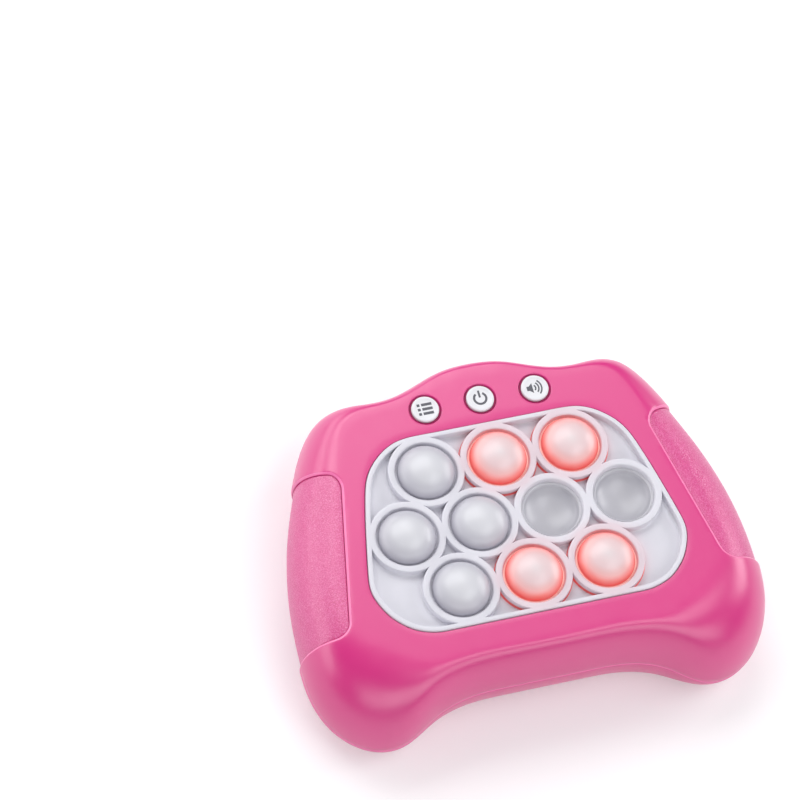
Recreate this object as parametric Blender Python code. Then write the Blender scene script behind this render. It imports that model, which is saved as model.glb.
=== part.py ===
"""Electronic bubble pop game: a hand-held pad with ten push-through bubbles and three buttons.

The pad lies on its back. X runs across it, Y towards the edge with the buttons and Z out of the
bubble face. The origin is under the middle of the pad, on the surface that it rests on.
"""

import math

import bmesh
import bpy
import numpy as np
from mathutils import Vector

MM = 0.001

# Fits shared by all pieces
GAP = 0.3 * MM
OVERRUN = 2.0 * MM

# Housing, measured from the bubble panel outwards
SIDE_BAND = 23.8 * MM
END_BAND = 24.6 * MM
INNER_ROOM = 8.0 * MM
PARTING_HEIGHT = 18.0 * MM
PARTING_SINK = 7.6 * MM
WALL = 3.0 * MM
LIP_STEP = 1.1 * MM
LIP_HEIGHT = 1.5 * MM
STATIONS = 50

# Bubble panel
PANEL_SIDE_MARGIN = 3.95 * MM
PANEL_END_MARGIN = 0.85 * MM
BUBBLE_PITCH = 23.5 * MM
BUBBLE_ROWS = (3, 4, 3)
PRESSED_BUBBLES = (6, 7)
LIT_BUBBLES = (2, 3, 9, 10)
RIM_RISE = 0.5 * MM
RIM_WIDTH = 1.7 * MM
FLOOR_DEPTH = 2.7 * MM
SHEET_THICKNESS = 2.2 * MM
FLANGE_LAP = 2.6 * MM
RING_RADIUS = 12.0 * MM
WELL_RADIUS = 9.5 * MM
WELL_DEPTH = 1.3 * MM
DOME_HEIGHT = 5.2 * MM
DOME_WALL = 1.0 * MM
POST_RADIUS = 2.2 * MM
RING_SEGMENTS = 16
DOME_SEGMENTS = 16
SLEEVE_SEGMENTS = 10
POST_SEGMENTS = 10
BORE_SEGMENTS = 8

# Grips
GRIP_RECESS = 0.8 * MM
GRIP_THICKNESS = 1.0 * MM
GRIP_TOP_RADIUS = 5.5 * MM
GRIP_FOOT_RADIUS = 5.0 * MM

# Buttons
BUTTON_SPACING = 18.0 * MM
BUTTON_INSET = 8.2 * MM
BUTTON_RADIUS = 4.4 * MM
BUTTON_PLAY = 0.7 * MM
BUTTON_RISE = 0.5 * MM
BUTTON_EDGE = 0.4 * MM
BUTTON_TRAVEL = 0.8 * MM
BUTTON_FLANGE = 0.5 * MM
BUTTON_FLANGE_THICKNESS = 1.2 * MM
BUTTON_STEM_RADIUS = 2.0 * MM
SWITCH_WIDTH = 6.0 * MM
SWITCH_HEIGHT = 3.5 * MM
PLUNGER_RADIUS = 1.7 * MM
PLUNGER_HEIGHT = 0.8 * MM

# Frame, circuit board and what it carries
FRAME_THICKNESS = 2.0 * MM
SLEEVE_PLAY = 0.8 * MM
SLEEVE_WALL = 1.1 * MM
EAR_WALL = 1.3 * MM
EAR_TONGUE = 7.0 * MM
BOARD_THICKNESS = 1.6 * MM
BOARD_ROOM = 1.7 * MM
PAD_RADIUS = 2.6 * MM
PAD_HEIGHT = 0.25 * MM
LED_OFFSET = 5.2 * MM
LED_LENGTH = 3.5 * MM
LED_WIDTH = 2.8 * MM
LED_HEIGHT = 1.0 * MM
LENS_MARGIN = 0.4 * MM
LENS_HEIGHT = 0.4 * MM
CHIP_LENGTH = 11.0 * MM
CHIP_WIDTH = 7.5 * MM
CHIP_HEIGHT = 1.7 * MM
CHIP_OFFSET = 26.0 * MM

# Screws and their posts
SHANK_RADIUS = 1.1 * MM
SHANK_PLAY = 0.45 * MM
HEAD_HEIGHT = 1.3 * MM
BOARD_BOSS_RADIUS = 2.6 * MM
BOARD_HEAD_RADIUS = 2.2 * MM
BOARD_SCREW_LENGTH = 7.0 * MM
BOARD_SCREW_STEP = 12.0 * MM
BOARD_SCREW_FOOT_X = 24.0 * MM
POST_HEIGHT = 15.6 * MM
POST_WALL = 1.4 * MM
POST_SHELF = 6.0 * MM
HOUSING_BOSS_RADIUS = 3.6 * MM
HOUSING_HEAD_RADIUS = 2.5 * MM
HOUSING_SCREW_LENGTH = 15.0 * MM
SLOT_WIDTH = 0.7 * MM
SLOT_DEPTH = 0.6 * MM
SLOT_REACH_share = 0.6

# Batteries and their bay
CELL_RADIUS = 5.15 * MM
CELL_LENGTH = 43.5 * MM
NUB_RADIUS = 1.9 * MM
NUB_LENGTH = 1.0 * MM
CELL_SPACING = 11.2 * MM
SPRING_SPACE = 4.2 * MM
STRIP_THICKNESS = 0.5 * MM
STRIP_HEIGHT = 7.0 * MM
CONTACT_HALF_share = 0.8
TAB_WIDTH = 3.0 * MM
TAB_RISE = 1.6 * MM
BAY_Y = -8.5 * MM
BAY_WALL = 1.6 * MM
LEDGE_THICKNESS = 1.6 * MM
LEDGE_LAP = 2.2 * MM
DOOR_THICKNESS = 2.0 * MM
DOOR_LAP = 2.2 * MM
DOOR_CORNER = 3.0 * MM
HOOK_WIDTH = 6.0 * MM
HOOK_SPACING = 30.0 * MM
HOOK_REACH = 1.8 * MM
HOOK_HEIGHT = 1.3 * MM
HOOK_ROOT = 1.4 * MM
DOOR_EAR_RADIUS = 4.4 * MM
DOOR_EAR_REACH = 2.6 * MM
DOOR_BOSS_RADIUS = 2.9 * MM
DOOR_BOSS_HEIGHT = 7.0 * MM
DOOR_HEAD_RADIUS = 2.3 * MM
DOOR_HEAD_HEIGHT = 0.9 * MM
DOOR_SCREW_LENGTH = 5.0 * MM
DOOR_SCREW_SHELF = 0.7 * MM

# Speaker
SPEAKER_RADIUS = 13.0 * MM
SPEAKER_STEP = 3.45 * MM
SPEAKER_RIM = 1.6 * MM
SPEAKER_BASKET = 2.2 * MM
MAGNET_RADIUS = 7.5 * MM
MAGNET_HEIGHT = 3.4 * MM
CONE_MARGIN = 1.8 * MM
CONE_DEPTH = 1.1 * MM
HOLDER_WALL = 1.4 * MM
HOLDER_HEIGHT = 5.0 * MM
SOUND_SLOT_WIDTH = 1.8 * MM
SOUND_SLOT_SPACING = 3.8 * MM
SOUND_SLOT_COUNT = 5
SOUND_SLOT_REACH = 9.5 * MM

# Wires
WIRE_RADIUS = 0.55 * MM
WIRE_SPREAD = 2.5 * MM
WIRE_BOW = 2.4 * MM
WIRE_SHIFT = 3.5 * MM

# Half of the housing outline at the parting line, from the middle of the button edge round the right
# side to the middle of the lower edge: x and y as shares of the half width and half length, then how
# much of the parting sink applies, and how far the front and rear rounding reach towards the panel.
OUTLINE_shares = (
    (0.000, 1.000, 0.00, 0.21, 0.68),
    (0.132, 0.980, 0.00, 0.21, 0.68),
    (0.251, 0.927, 0.00, 0.25, 0.70),
    (0.354, 0.886, 0.00, 0.28, 0.72),
    (0.457, 0.880, 0.00, 0.30, 0.70),
    (0.564, 0.894, 0.00, 0.34, 0.72),
    (0.658, 0.866, 0.00, 0.40, 0.72),
    (0.730, 0.780, 0.00, 0.50, 0.72),
    (0.793, 0.642, 0.00, 0.58, 0.70),
    (0.849, 0.476, 0.00, 0.64, 0.66),
    (0.906, 0.285, 0.00, 0.68, 0.60),
    (0.949, 0.093, 0.00, 0.68, 0.55),
    (0.978, -0.098, 0.03, 0.66, 0.52),
    (0.993, -0.293, 0.09, 0.64, 0.52),
    (0.996, -0.480, 0.24, 0.63, 0.52),
    (0.984, -0.642, 0.48, 0.64, 0.52),
    (0.940, -0.793, 0.76, 0.67, 0.54),
    (0.865, -0.911, 0.94, 0.70, 0.56),
    (0.768, -0.984, 1.00, 0.71, 0.56),
    (0.667, -0.996, 0.91, 0.67, 0.56),
    (0.580, -0.955, 0.67, 0.58, 0.56),
    (0.495, -0.898, 0.33, 0.50, 0.58),
    (0.401, -0.858, 0.09, 0.46, 0.60),
    (0.291, -0.837, 0.00, 0.44, 0.62),
    (0.150, -0.833, 0.00, 0.42, 0.62),
    (0.000, -0.833, 0.00, 0.41, 0.62),
)

# The panel opening beside each of those points, as shares of its half width and half length.
PANEL_shares = (
    (0.000, 1.000),
    (0.174, 1.000),
    (0.339, 1.000),
    (0.482, 1.000),
    (0.587, 0.979),
    (0.670, 0.922),
    (0.739, 0.841),
    (0.794, 0.749),
    (0.835, 0.642),
    (0.862, 0.529),
    (0.890, 0.373),
    (0.924, 0.161),
    (0.959, -0.080),
    (0.986, -0.278),
    (1.000, -0.448),
    (0.979, -0.596),
    (0.936, -0.731),
    (0.881, -0.834),
    (0.817, -0.915),
    (0.743, -0.968),
    (0.665, -0.996),
    (0.583, -1.000),
    (0.486, -1.000),
    (0.367, -1.000),
    (0.193, -1.000),
    (0.000, -1.000),
)

# Corners of the right grip seen from above, as shares of the half width and half length: inner top,
# outer top, outer foot and inner foot. The outer ones lie past the housing.
GRIP_CORNER_shares = ((0.665, 0.431), (1.128, 0.691), (1.128, -0.447), (0.815, -0.484))
GRIP_STATION_shares = (0.13, 0.33)
GRIP_FACE_share = 0.7
GRIP_BASE_share = 0.5

# Corners of the right half of the circuit board, and the two housing screws on the right, as shares of
# the panel's half width and half length.
BOARD_CORNER_shares = ((0.73, 1.39), (0.73, 0.94), (0.95, 0.75), (0.95, -0.91), (0.73, -1.28))
HOUSING_SCREW_shares = ((0.894, 1.078), (0.938, -1.271))

FRONT_ANGLES = (0, 22, 44, 67, 90)
REAR_ANGLES = (0, 25, 50, 72, 90)
INNER_ANGLES = (0, 30, 60)
INNER_REAR_ANGLES = (30, 60, 90)

# Sizes seen from above, worked out from the bubbles outwards
ROW_SPACING = BUBBLE_PITCH * math.sqrt(3) / 2
PANEL_WIDTH = (max(BUBBLE_ROWS) - 1) * BUBBLE_PITCH + 2 * (RING_RADIUS + PANEL_SIDE_MARGIN)
PANEL_LENGTH = (len(BUBBLE_ROWS) - 1) * ROW_SPACING + 2 * (RING_RADIUS + PANEL_END_MARGIN)
HALF_WIDTH = PANEL_WIDTH / 2 + SIDE_BAND
HALF_LENGTH = PANEL_LENGTH / 2 + END_BAND
BUTTON_ROW = PANEL_LENGTH / 2 + BUTTON_INSET
BOARD_SCREW_Y = PANEL_LENGTH / 2 + FLANGE_LAP + 3 * GAP + BOARD_BOSS_RADIUS

# Levels, worked out from the cells up to the face, and from the face inwards
BUBBLE_TRAVEL = 2 * DOME_HEIGHT - DOME_WALL
CELL_LEVEL = DOOR_THICKNESS + GAP + CELL_RADIUS
BAY_TOP = CELL_LEVEL + CELL_RADIUS + GAP
BOARD_BOTTOM = BAY_TOP + BAY_WALL + INNER_ROOM
BOARD_TOP = BOARD_BOTTOM + BOARD_THICKNESS
DOME_BASE = BOARD_TOP + BOARD_ROOM + BUBBLE_TRAVEL
BODY_DEPTH = DOME_BASE + WELL_DEPTH - RIM_RISE
RIM_TOP = BODY_DEPTH + RIM_RISE
FLOOR_LEVEL = RIM_TOP - FLOOR_DEPTH
SHEET_BOTTOM = FLOOR_LEVEL - SHEET_THICKNESS
FLANGE_TOP = BODY_DEPTH - WALL - GAP
DOME_RADIUS = WELL_RADIUS - GAP
FRAME_TOP = SHEET_BOTTOM - GAP
FRAME_BOTTOM = FRAME_TOP - FRAME_THICKNESS
PAD_TOP = BOARD_TOP + PAD_HEIGHT
POST_LENGTH = DOME_BASE + DOME_HEIGHT - DOME_WALL - BUBBLE_TRAVEL - PAD_TOP - GAP
SLEEVE_RADIUS = DOME_RADIUS + SLEEVE_PLAY
BAY_LENGTH = CELL_LENGTH + NUB_LENGTH + SPRING_SPACE + 2 * (STRIP_THICKNESS + GAP)
BAY_WIDTH = 2 * (CELL_SPACING + CELL_RADIUS + GAP)
DOOR_TOP_Y = BAY_Y + BAY_WIDTH / 2 + BAY_WALL + DOOR_LAP
DOOR_FOOT_Y = BAY_Y - BAY_WIDTH / 2 - BAY_WALL - DOOR_LAP
DOOR_HALF = BAY_LENGTH / 2 + BAY_WALL + DOOR_LAP
DOOR_SCREW_Y = DOOR_FOOT_Y - DOOR_EAR_REACH
SPEAKER_Y = DOOR_TOP_Y + SPEAKER_RADIUS + SPEAKER_STEP


def material(name, colour, roughness, metallic=0.0):
    """A plain finish. colour is in linear RGB."""
    look = bpy.data.materials.new(name)
    look.use_nodes = True
    look.diffuse_color = (*colour, 1.0)
    shader = look.node_tree.nodes["Principled BSDF"]
    shader.inputs["Base Color"].default_value = (*colour, 1.0)
    shader.inputs["Roughness"].default_value = roughness
    shader.inputs["Metallic"].default_value = metallic
    return look


def add_object(name, mesh):
    """Links a mesh to the scene as an object."""
    thing = bpy.data.objects.new(name, mesh)
    bpy.context.collection.objects.link(thing)
    return thing


def solid(name, points, faces):
    """A closed mesh whose faces point out."""
    mesh = bpy.data.meshes.new(name)
    mesh.from_pydata([tuple(point) for point in points], [], faces)
    shape = bmesh.new()
    shape.from_mesh(mesh)
    bmesh.ops.recalc_face_normals(shape, faces=shape.faces)
    shape.to_mesh(mesh)
    shape.free()
    return add_object(name, mesh)


def loft(name, rings, looped=False):
    """Joins rings of as many points each. The ends are capped, or joined to each other if looped."""
    count = len(rings[0])
    points = [point for ring in rings for point in ring]
    faces = []
    for level in range(len(rings) if looped else len(rings) - 1):
        low = level * count
        high = (level + 1) % len(rings) * count
        for i in range(count):
            j = (i + 1) % count
            faces.append((low + i, low + j, high + j, high + i))
    if not looped:
        faces.append(tuple(range(count)))
        faces.append(tuple(range(len(points) - count, len(points))))
    return solid(name, points, faces)


def prism(name, outline, low, high):
    """An upright solid with a flat outline of (x, y) points."""
    return loft(name, [[(x, y, level) for x, y in outline] for level in (low, high)])


def box(name, low, high):
    """A rectangular block between two corners."""
    outline = ((low[0], low[1]), (high[0], low[1]), (high[0], high[1]), (low[0], high[1]))
    return prism(name, outline, low[2], high[2])


def circle(radius, segments, x=0.0, y=0.0):
    """Points round a circle."""
    turn = 2 * math.pi / segments
    return [(x + radius * math.cos(turn * i), y + radius * math.sin(turn * i)) for i in range(segments)]


def turned(name, profile, segments, x=0.0, y=0.0):
    """A solid turned about a vertical axis. A profile of (radius, level) points starts and ends on it,
    or else is closed to a ring."""
    points = []
    rings = []
    for radius, level in profile:
        ring = [(x, y)] if radius == 0 else circle(radius, segments, x, y)
        rings.append(range(len(points), len(points) + len(ring)))
        points += [(u, v, level) for u, v in ring]
    if profile[0][0] > 0:
        rings.append(rings[0])
    faces = []
    for upper, lower in zip(rings, rings[1:]):
        for i in range(segments):
            corners = (upper[i % len(upper)], upper[(i + 1) % len(upper)])
            corners += (lower[(i + 1) % len(lower)], lower[i % len(lower)])
            faces.append(tuple(dict.fromkeys(corners)))
    return solid(name, points, faces)


def rounded(corners, radii, steps=4):
    """The outline of a convex polygon, its corners rounded by arcs that touch both sides."""
    outline = []
    for i, corner in enumerate(corners):
        here = Vector(corner)
        before = (Vector(corners[i - 1]) - here).normalized()
        after = (Vector(corners[(i + 1) % len(corners)]) - here).normalized()
        if radii[i] == 0:
            outline.append(tuple(here))
            continue
        half = before.angle(after) / 2
        centre = here + (before + after).normalized() * radii[i] / math.sin(half)
        start = here + before * radii[i] / math.tan(half) - centre
        end = here + after * radii[i] / math.tan(half) - centre
        for k in range(steps + 1):
            spoke = start.lerp(end, k / steps).normalized() * radii[i]
            outline.append(tuple(centre + spoke))
    return outline


def grown(corners, distance):
    """A convex polygon with each side moved outwards."""
    middle = sum((Vector(corner) for corner in corners), Vector((0.0, 0.0))) / len(corners)
    sides = []
    for i, corner in enumerate(corners):
        here = Vector(corner)
        along = (Vector(corners[(i + 1) % len(corners)]) - here).normalized()
        out = Vector((along.y, -along.x))
        if out.dot(here - middle) < 0:
            out = -out
        sides.append((here + out * distance, along))
    moved = []
    for i, (point, along) in enumerate(sides):
        other, across = sides[i - 1]
        step = (point - other).cross(along) / across.cross(along)
        moved.append(tuple(other + across * step))
    return moved


def boolean(target, operation, *tools):
    """Cuts, joins or intersects the target with the tools, which are used up."""
    for tool in tools:
        step = target.modifiers.new(operation.title(), "BOOLEAN")
        step.operation = operation
        step.solver = "EXACT"
        step.object = tool
    graph = bpy.context.evaluated_depsgraph_get()
    result = bpy.data.meshes.new_from_object(target.evaluated_get(graph))
    target.modifiers.clear()
    target.data = result
    for tool in tools:
        bpy.data.objects.remove(tool)
    return target


def cut(target, *tools):
    return boolean(target, "DIFFERENCE", *tools)


def join(target, *tools):
    return boolean(target, "UNION", *tools)


def finish(thing, look, origin=(0.0, 0.0, 0.0)):
    """Gives a piece its material and smooth shading, and moves its origin without moving the piece."""
    mesh = thing.data
    mesh.name = thing.name
    mesh.materials.clear()
    mesh.materials.append(look)
    mesh.shade_smooth()
    mesh.set_sharp_from_angle(angle=math.radians(35))
    for vertex in mesh.vertices:
        vertex.co -= Vector(origin)
    thing.location = origin
    thing.parent = bpy.data.objects["bubble_pop_game"]
    return thing


def closed_spline(rows, count):
    """Samples a smooth closed curve through the rows. Each column is a periodic cubic spline."""
    rows = np.array(rows)
    size = len(rows)
    matrix = 4 * np.eye(size) + np.roll(np.eye(size), 1, axis=1) + np.roll(np.eye(size), -1, axis=1)
    bend = np.linalg.solve(matrix, 6 * (np.roll(rows, 1, axis=0) - 2 * rows + np.roll(rows, -1, axis=0)))
    place = np.arange(count) * size / count
    low = np.floor(place).astype(int)
    high = (low + 1) % size
    part = (place - low)[:, None]
    rest = 1 - part
    straight = rows[low] * rest + rows[high] * part
    return straight + ((rest**3 - rest) * bend[low] + (part**3 - part) * bend[high]) / 6


def mirrored(rows):
    """The rows of one half, followed by the same rows of the other half in reverse."""
    return list(rows) + [(-row[0], *row[1:]) for row in reversed(rows[1:-1])]


def outward(outline):
    """Unit vectors square to a closed clockwise outline."""
    along = np.roll(outline, -1, axis=0) - np.roll(outline, 1, axis=0)
    along /= np.linalg.norm(along, axis=1)[:, None]
    return np.column_stack([-along[:, 1], along[:, 0]])


class Housing:
    """The outer form that both shells and both grips follow, in sections round the outline."""

    def __init__(self):
        table = closed_spline(mirrored(OUTLINE_shares), STATIONS)
        panel = closed_spline(mirrored(PANEL_shares), STATIONS)
        middle = (table[:, 1].max() + table[:, 1].min()) / 2
        reach = (table[:, 1].max() - table[:, 1].min()) / 2
        self.outline = np.column_stack([
            table[:, 0] / abs(table[:, 0]).max() * HALF_WIDTH,
            (table[:, 1] - middle) / reach * HALF_LENGTH,
        ])
        self.panel = panel * (PANEL_WIDTH / 2, PANEL_LENGTH / 2)
        self.level = PARTING_HEIGHT - PARTING_SINK * table[:, 2]
        inwards = self.panel - self.outline
        self.shoulder = self.outline + inwards * table[:, 3:4]
        self.back = self.outline + inwards * table[:, 4:5]

    def rim(self, inset):
        """The outline moved inwards."""
        return self.outline - outward(self.outline) * inset

    def panel_outline(self, growth):
        """The panel opening, grown or, if negative, shrunk."""
        return self.panel + outward(self.panel) * growth

    def front(self, angle, inset, lift=0.0):
        """A ring of the front: 0 degrees at the shoulder, 90 at the parting line, which lift raises."""
        turn = math.radians(angle)
        base = self.level + lift
        plan = self.shoulder + (self.rim(inset) - self.shoulder) * math.sin(turn)
        return np.column_stack([plan, base + (BODY_DEPTH - inset - base) * math.cos(turn)])

    def rear(self, angle, inset, lift=0.0):
        """A ring of the rear: 0 degrees at the parting line, 90 where the back turns flat."""
        turn = math.radians(angle)
        base = self.level + lift
        plan = self.back + (self.rim(inset) - self.back) * math.cos(turn)
        return np.column_stack([plan, base + (inset - base) * math.sin(turn)])

    def edge(self, inset, lift):
        """A ring beside the parting line."""
        return np.column_stack([self.rim(inset), self.level + lift])

    def face(self, inset, share=1.0):
        """A flat ring between the shoulder and the panel opening."""
        plan = self.shoulder + (self.panel - self.shoulder) * share
        return np.column_stack([plan, np.full(STATIONS, BODY_DEPTH - inset)])

    def base(self, inset, share):
        """A flat ring of the back, inside where its rounding ends."""
        plan = self.back + (self.panel - self.back) * share
        return np.column_stack([plan, np.full(STATIONS, inset)])


def side_slab(name, form, outer, inner, border):
    """The part of a layer of the right flank inside a border seen from above, between two depths
    below the surface."""
    loops = []
    for depth in (outer, inner):
        rings = [form.face(depth, GRIP_FACE_share)] + [form.front(angle, depth) for angle in FRONT_ANGLES]
        rings += [form.rear(angle, depth) for angle in REAR_ANGLES[1:]] + [form.base(depth, GRIP_BASE_share)]
        loops.append(rings)
    first, last = (round(share * STATIONS) for share in GRIP_STATION_shares)
    sections = []
    for station in range(first, last + 1):
        sections.append([ring[station] for ring in loops[0]] + [ring[station] for ring in reversed(loops[1])])
    slab = loft(name, sections)
    column = prism("border", border, -OVERRUN * 2, BODY_DEPTH + OVERRUN * 2)
    return boolean(slab, "INTERSECT", column)


def grip_border(growth):
    """The border of the right grip seen from above, grown or, if negative, shrunk."""
    corners = grown([(x * HALF_WIDTH, y * HALF_LENGTH) for x, y in GRIP_CORNER_shares], growth)
    return rounded(corners, (GRIP_TOP_RADIUS + growth, 0, 0, GRIP_FOOT_RADIUS + growth))


def other_side(thing, name):
    """A mirror image of a piece on the other side of the pad."""
    mesh = thing.data.copy()
    shape = bmesh.new()
    shape.from_mesh(mesh)
    bmesh.ops.scale(shape, vec=(-1, 1, 1), verts=shape.verts)
    bmesh.ops.reverse_faces(shape, faces=shape.faces)
    shape.to_mesh(mesh)
    shape.free()
    return add_object(name, mesh)


def both_sides(thing):
    """A piece and its mirror image."""
    return thing, other_side(thing, thing.name + "_mirrored")


def bubble_centres():
    """Centres of the ten bubbles, row by row from the button edge, each row from the left."""
    centres = []
    for row, count in enumerate(BUBBLE_ROWS):
        for column in range(count):
            x = (column - (count - 1) / 2) * BUBBLE_PITCH
            centres.append((x, ((len(BUBBLE_ROWS) - 1) / 2 - row) * ROW_SPACING))
    return centres


def button_centres():
    return [(offset * BUTTON_SPACING, BUTTON_ROW) for offset in (-1, 0, 1)]


def housing_screws():
    places = [(x * PANEL_WIDTH / 2, y * PANEL_LENGTH / 2) for x, y in HOUSING_SCREW_shares]
    return places + [(-x, y) for x, y in places]


def board_screws():
    places = [(BUTTON_SPACING + BOARD_SCREW_STEP, BOARD_SCREW_Y), (BOARD_SCREW_FOOT_X, -BOARD_SCREW_Y)]
    return places + [(-x, y) for x, y in places]


def front_shell(form, look):
    """The front half: a moulded shell with the panel opening, button holes and screw bosses."""
    rings = [form.face(0)] + [form.front(angle, 0, GAP / 2) for angle in FRONT_ANGLES]
    rings += [form.edge(LIP_STEP, GAP / 2), form.edge(LIP_STEP, LIP_HEIGHT + GAP)]
    rings += [form.edge(WALL, LIP_HEIGHT + GAP)]
    rings += [form.front(angle, WALL) for angle in reversed(INNER_ANGLES)]
    rings += [form.face(WALL)]
    shell = loft("front_shell", rings, looped=True)
    pocket = side_slab("pocket", form, -OVERRUN, pocket_depth(), grip_border(0))
    cut(shell, *both_sides(pocket))
    root = BODY_DEPTH - WALL / 2
    for x, y in housing_screws():
        join(shell, prism("boss", circle(HOUSING_BOSS_RADIUS, POST_SEGMENTS, x, y), POST_HEIGHT + GAP, root))
    for x, y in board_screws():
        join(shell, prism("boss", circle(BOARD_BOSS_RADIUS, POST_SEGMENTS, x, y), BOARD_TOP + GAP, root))
    bore = SHANK_RADIUS + SHANK_PLAY
    for x, y in housing_screws():
        cut(shell, prism("bore", circle(bore, BORE_SEGMENTS, x, y), POST_HEIGHT, root - WALL))
    for x, y in board_screws():
        cut(shell, prism("bore", circle(bore, BORE_SEGMENTS, x, y), BOARD_TOP, root - WALL))
    hole = BUTTON_RADIUS + BUTTON_PLAY
    for x, y in button_centres():
        cut(shell, prism("hole", circle(hole, RING_SEGMENTS, x, y), root - WALL, BODY_DEPTH + OVERRUN))
    finish(shell, look)


def pocket_depth():
    """How deep the pockets for the grips lie below the housing surface."""
    return GRIP_RECESS + GRIP_THICKNESS + GAP


def rear_shell(form, look):
    """The rear half: a bowl with the battery bay, speaker holder, screw posts and sound slots."""
    rings = [form.rear(angle, 0, -GAP / 2) for angle in reversed(REAR_ANGLES)]
    rings += [form.edge(LIP_STEP + GAP, -GAP / 2), form.edge(LIP_STEP + GAP, LIP_HEIGHT)]
    rings += [form.edge(WALL, LIP_HEIGHT)]
    rings += [form.rear(angle, WALL) for angle in INNER_REAR_ANGLES]
    shell = loft("rear_shell", rings)
    pocket = side_slab("pocket", form, -OVERRUN, pocket_depth(), grip_border(0))
    cut(shell, *both_sides(pocket))
    add_battery_bay(shell)
    add_speaker_holder(shell)
    root = WALL / 2
    for x, y in housing_screws():
        well = HOUSING_HEAD_RADIUS + SHANK_PLAY
        join(shell, prism("post", circle(well + POST_WALL, POST_SEGMENTS, x, y), root, POST_HEIGHT))
        cut(shell, prism("well", circle(well, POST_SEGMENTS, x, y), -OVERRUN, POST_HEIGHT - POST_SHELF))
        bore = circle(SHANK_RADIUS + SHANK_PLAY, BORE_SEGMENTS, x, y)
        cut(shell, prism("bore", bore, POST_HEIGHT - POST_SHELF - WALL, POST_HEIGHT + OVERRUN))
    finish(shell, look)


def add_battery_bay(shell):
    """The bay for three cells, the ledge that its door closes against, and the door's screw boss."""
    ledge_low = DOOR_THICKNESS + GAP
    ledge_high = ledge_low + LEDGE_THICKNESS
    half = DOOR_HALF + GAP + LEDGE_LAP
    top = DOOR_TOP_Y + GAP + LEDGE_LAP
    foot = DOOR_FOOT_Y - GAP - LEDGE_LAP
    ledge = box("ledge", (-half, foot, WALL / 2), (half, top, ledge_high))
    outer = BAY_LENGTH / 2 + BAY_WALL
    across = BAY_WIDTH / 2 + BAY_WALL
    walls = box("walls", (-outer, BAY_Y - across, ledge_low), (outer, BAY_Y + across, BAY_TOP + BAY_WALL))
    boss_top = ledge_low + DOOR_BOSS_HEIGHT
    boss = prism("boss", circle(DOOR_BOSS_RADIUS, POST_SEGMENTS, 0, DOOR_SCREW_Y), ledge_low, boss_top)
    seat = circle(DOOR_EAR_RADIUS + GAP + LEDGE_LAP, RING_SEGMENTS, 0, DOOR_SCREW_Y)
    pad = prism("pad", seat, WALL / 2, ledge_high)
    join(shell, ledge)
    join(shell, pad)
    join(shell, walls)
    join(shell, boss)
    cut(shell, prism("recess", door_outline(GAP), -OVERRUN, ledge_low))
    cavity = box("cavity", (-BAY_LENGTH / 2, BAY_Y - BAY_WIDTH / 2, -OVERRUN),
                 (BAY_LENGTH / 2, BAY_Y + BAY_WIDTH / 2, BAY_TOP))
    cut(shell, cavity)
    bore = circle(SHANK_RADIUS + SHANK_PLAY, BORE_SEGMENTS, 0, DOOR_SCREW_Y)
    cut(shell, prism("bore", bore, DOOR_THICKNESS, boss_top - WALL / 2))
    for side in (-1, 1):
        x = side * HOOK_SPACING / 2
        width = HOOK_WIDTH / 2 + GAP
        inner = BAY_Y + BAY_WIDTH / 2 - GAP
        outer_edge = DOOR_TOP_Y + HOOK_REACH + GAP
        top = ledge_high + HOOK_HEIGHT + GAP
        cut(shell, box("window", (x - width, inner, WALL / 4), (x + width, DOOR_TOP_Y + GAP, top)))
        cut(shell, box("seat", (x - width, inner, WALL), (x + width, outer_edge, top)))
    for x, y in terminal_places():
        reach = STRIP_THICKNESS + 2 * GAP
        low, high = sorted((x, x - math.copysign(reach, x)))
        width = TAB_WIDTH / 2 + GAP
        ceiling = BAY_TOP + BAY_WALL + OVERRUN
        cut(shell, box("slot", (low, y - width, BAY_TOP - GAP), (high, y + width, ceiling)))


def terminal_places():
    """Where the two outer contacts stand against the ends of the bay."""
    return (-BAY_LENGTH / 2, BAY_Y + CELL_SPACING), (BAY_LENGTH / 2, BAY_Y - CELL_SPACING)


def door_outline(growth):
    """The battery door seen from above: a rounded rectangle with a round ear for the screw."""
    half = DOOR_HALF + growth
    top = DOOR_TOP_Y + growth
    foot = DOOR_FOOT_Y - growth
    corners = ((-half, foot), (-half, top), (half, top), (half, foot))
    plate = rounded(corners, [DOOR_CORNER + growth] * 4, 3)
    radius = DOOR_EAR_RADIUS + growth
    start = math.asin((foot - DOOR_SCREW_Y) / radius)
    turns = np.linspace(start, -math.pi - start, POST_SEGMENTS)
    return plate + [(radius * math.cos(turn), DOOR_SCREW_Y + radius * math.sin(turn)) for turn in turns]


def add_speaker_holder(shell):
    """The ring that holds the speaker, and the sound slots in front of it."""
    bore = SPEAKER_RADIUS + GAP
    ring = turned("ring", ((bore + HOLDER_WALL, WALL / 2), (bore + HOLDER_WALL, WALL + HOLDER_HEIGHT),
                           (bore, WALL + HOLDER_HEIGHT), (bore, WALL / 2)), RING_SEGMENTS, 0, SPEAKER_Y)
    join(shell, ring)
    for index in range(SOUND_SLOT_COUNT):
        offset = (index - (SOUND_SLOT_COUNT - 1) / 2) * SOUND_SLOT_SPACING
        reach = math.sqrt(SOUND_SLOT_REACH**2 - offset**2)
        radius = SOUND_SLOT_WIDTH / 2
        ends = circle(radius, BORE_SEGMENTS)
        right = [(x + reach - radius, y + SPEAKER_Y + offset) for x, y in ends if x >= 0]
        left = [(x - reach + radius, y + SPEAKER_Y + offset) for x, y in ends if x <= 0]
        outline = sorted(right, key=lambda point: point[1]) + sorted(left, key=lambda point: -point[1])
        cut(shell, prism("slot", outline, -OVERRUN, WALL + GAP))


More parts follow.
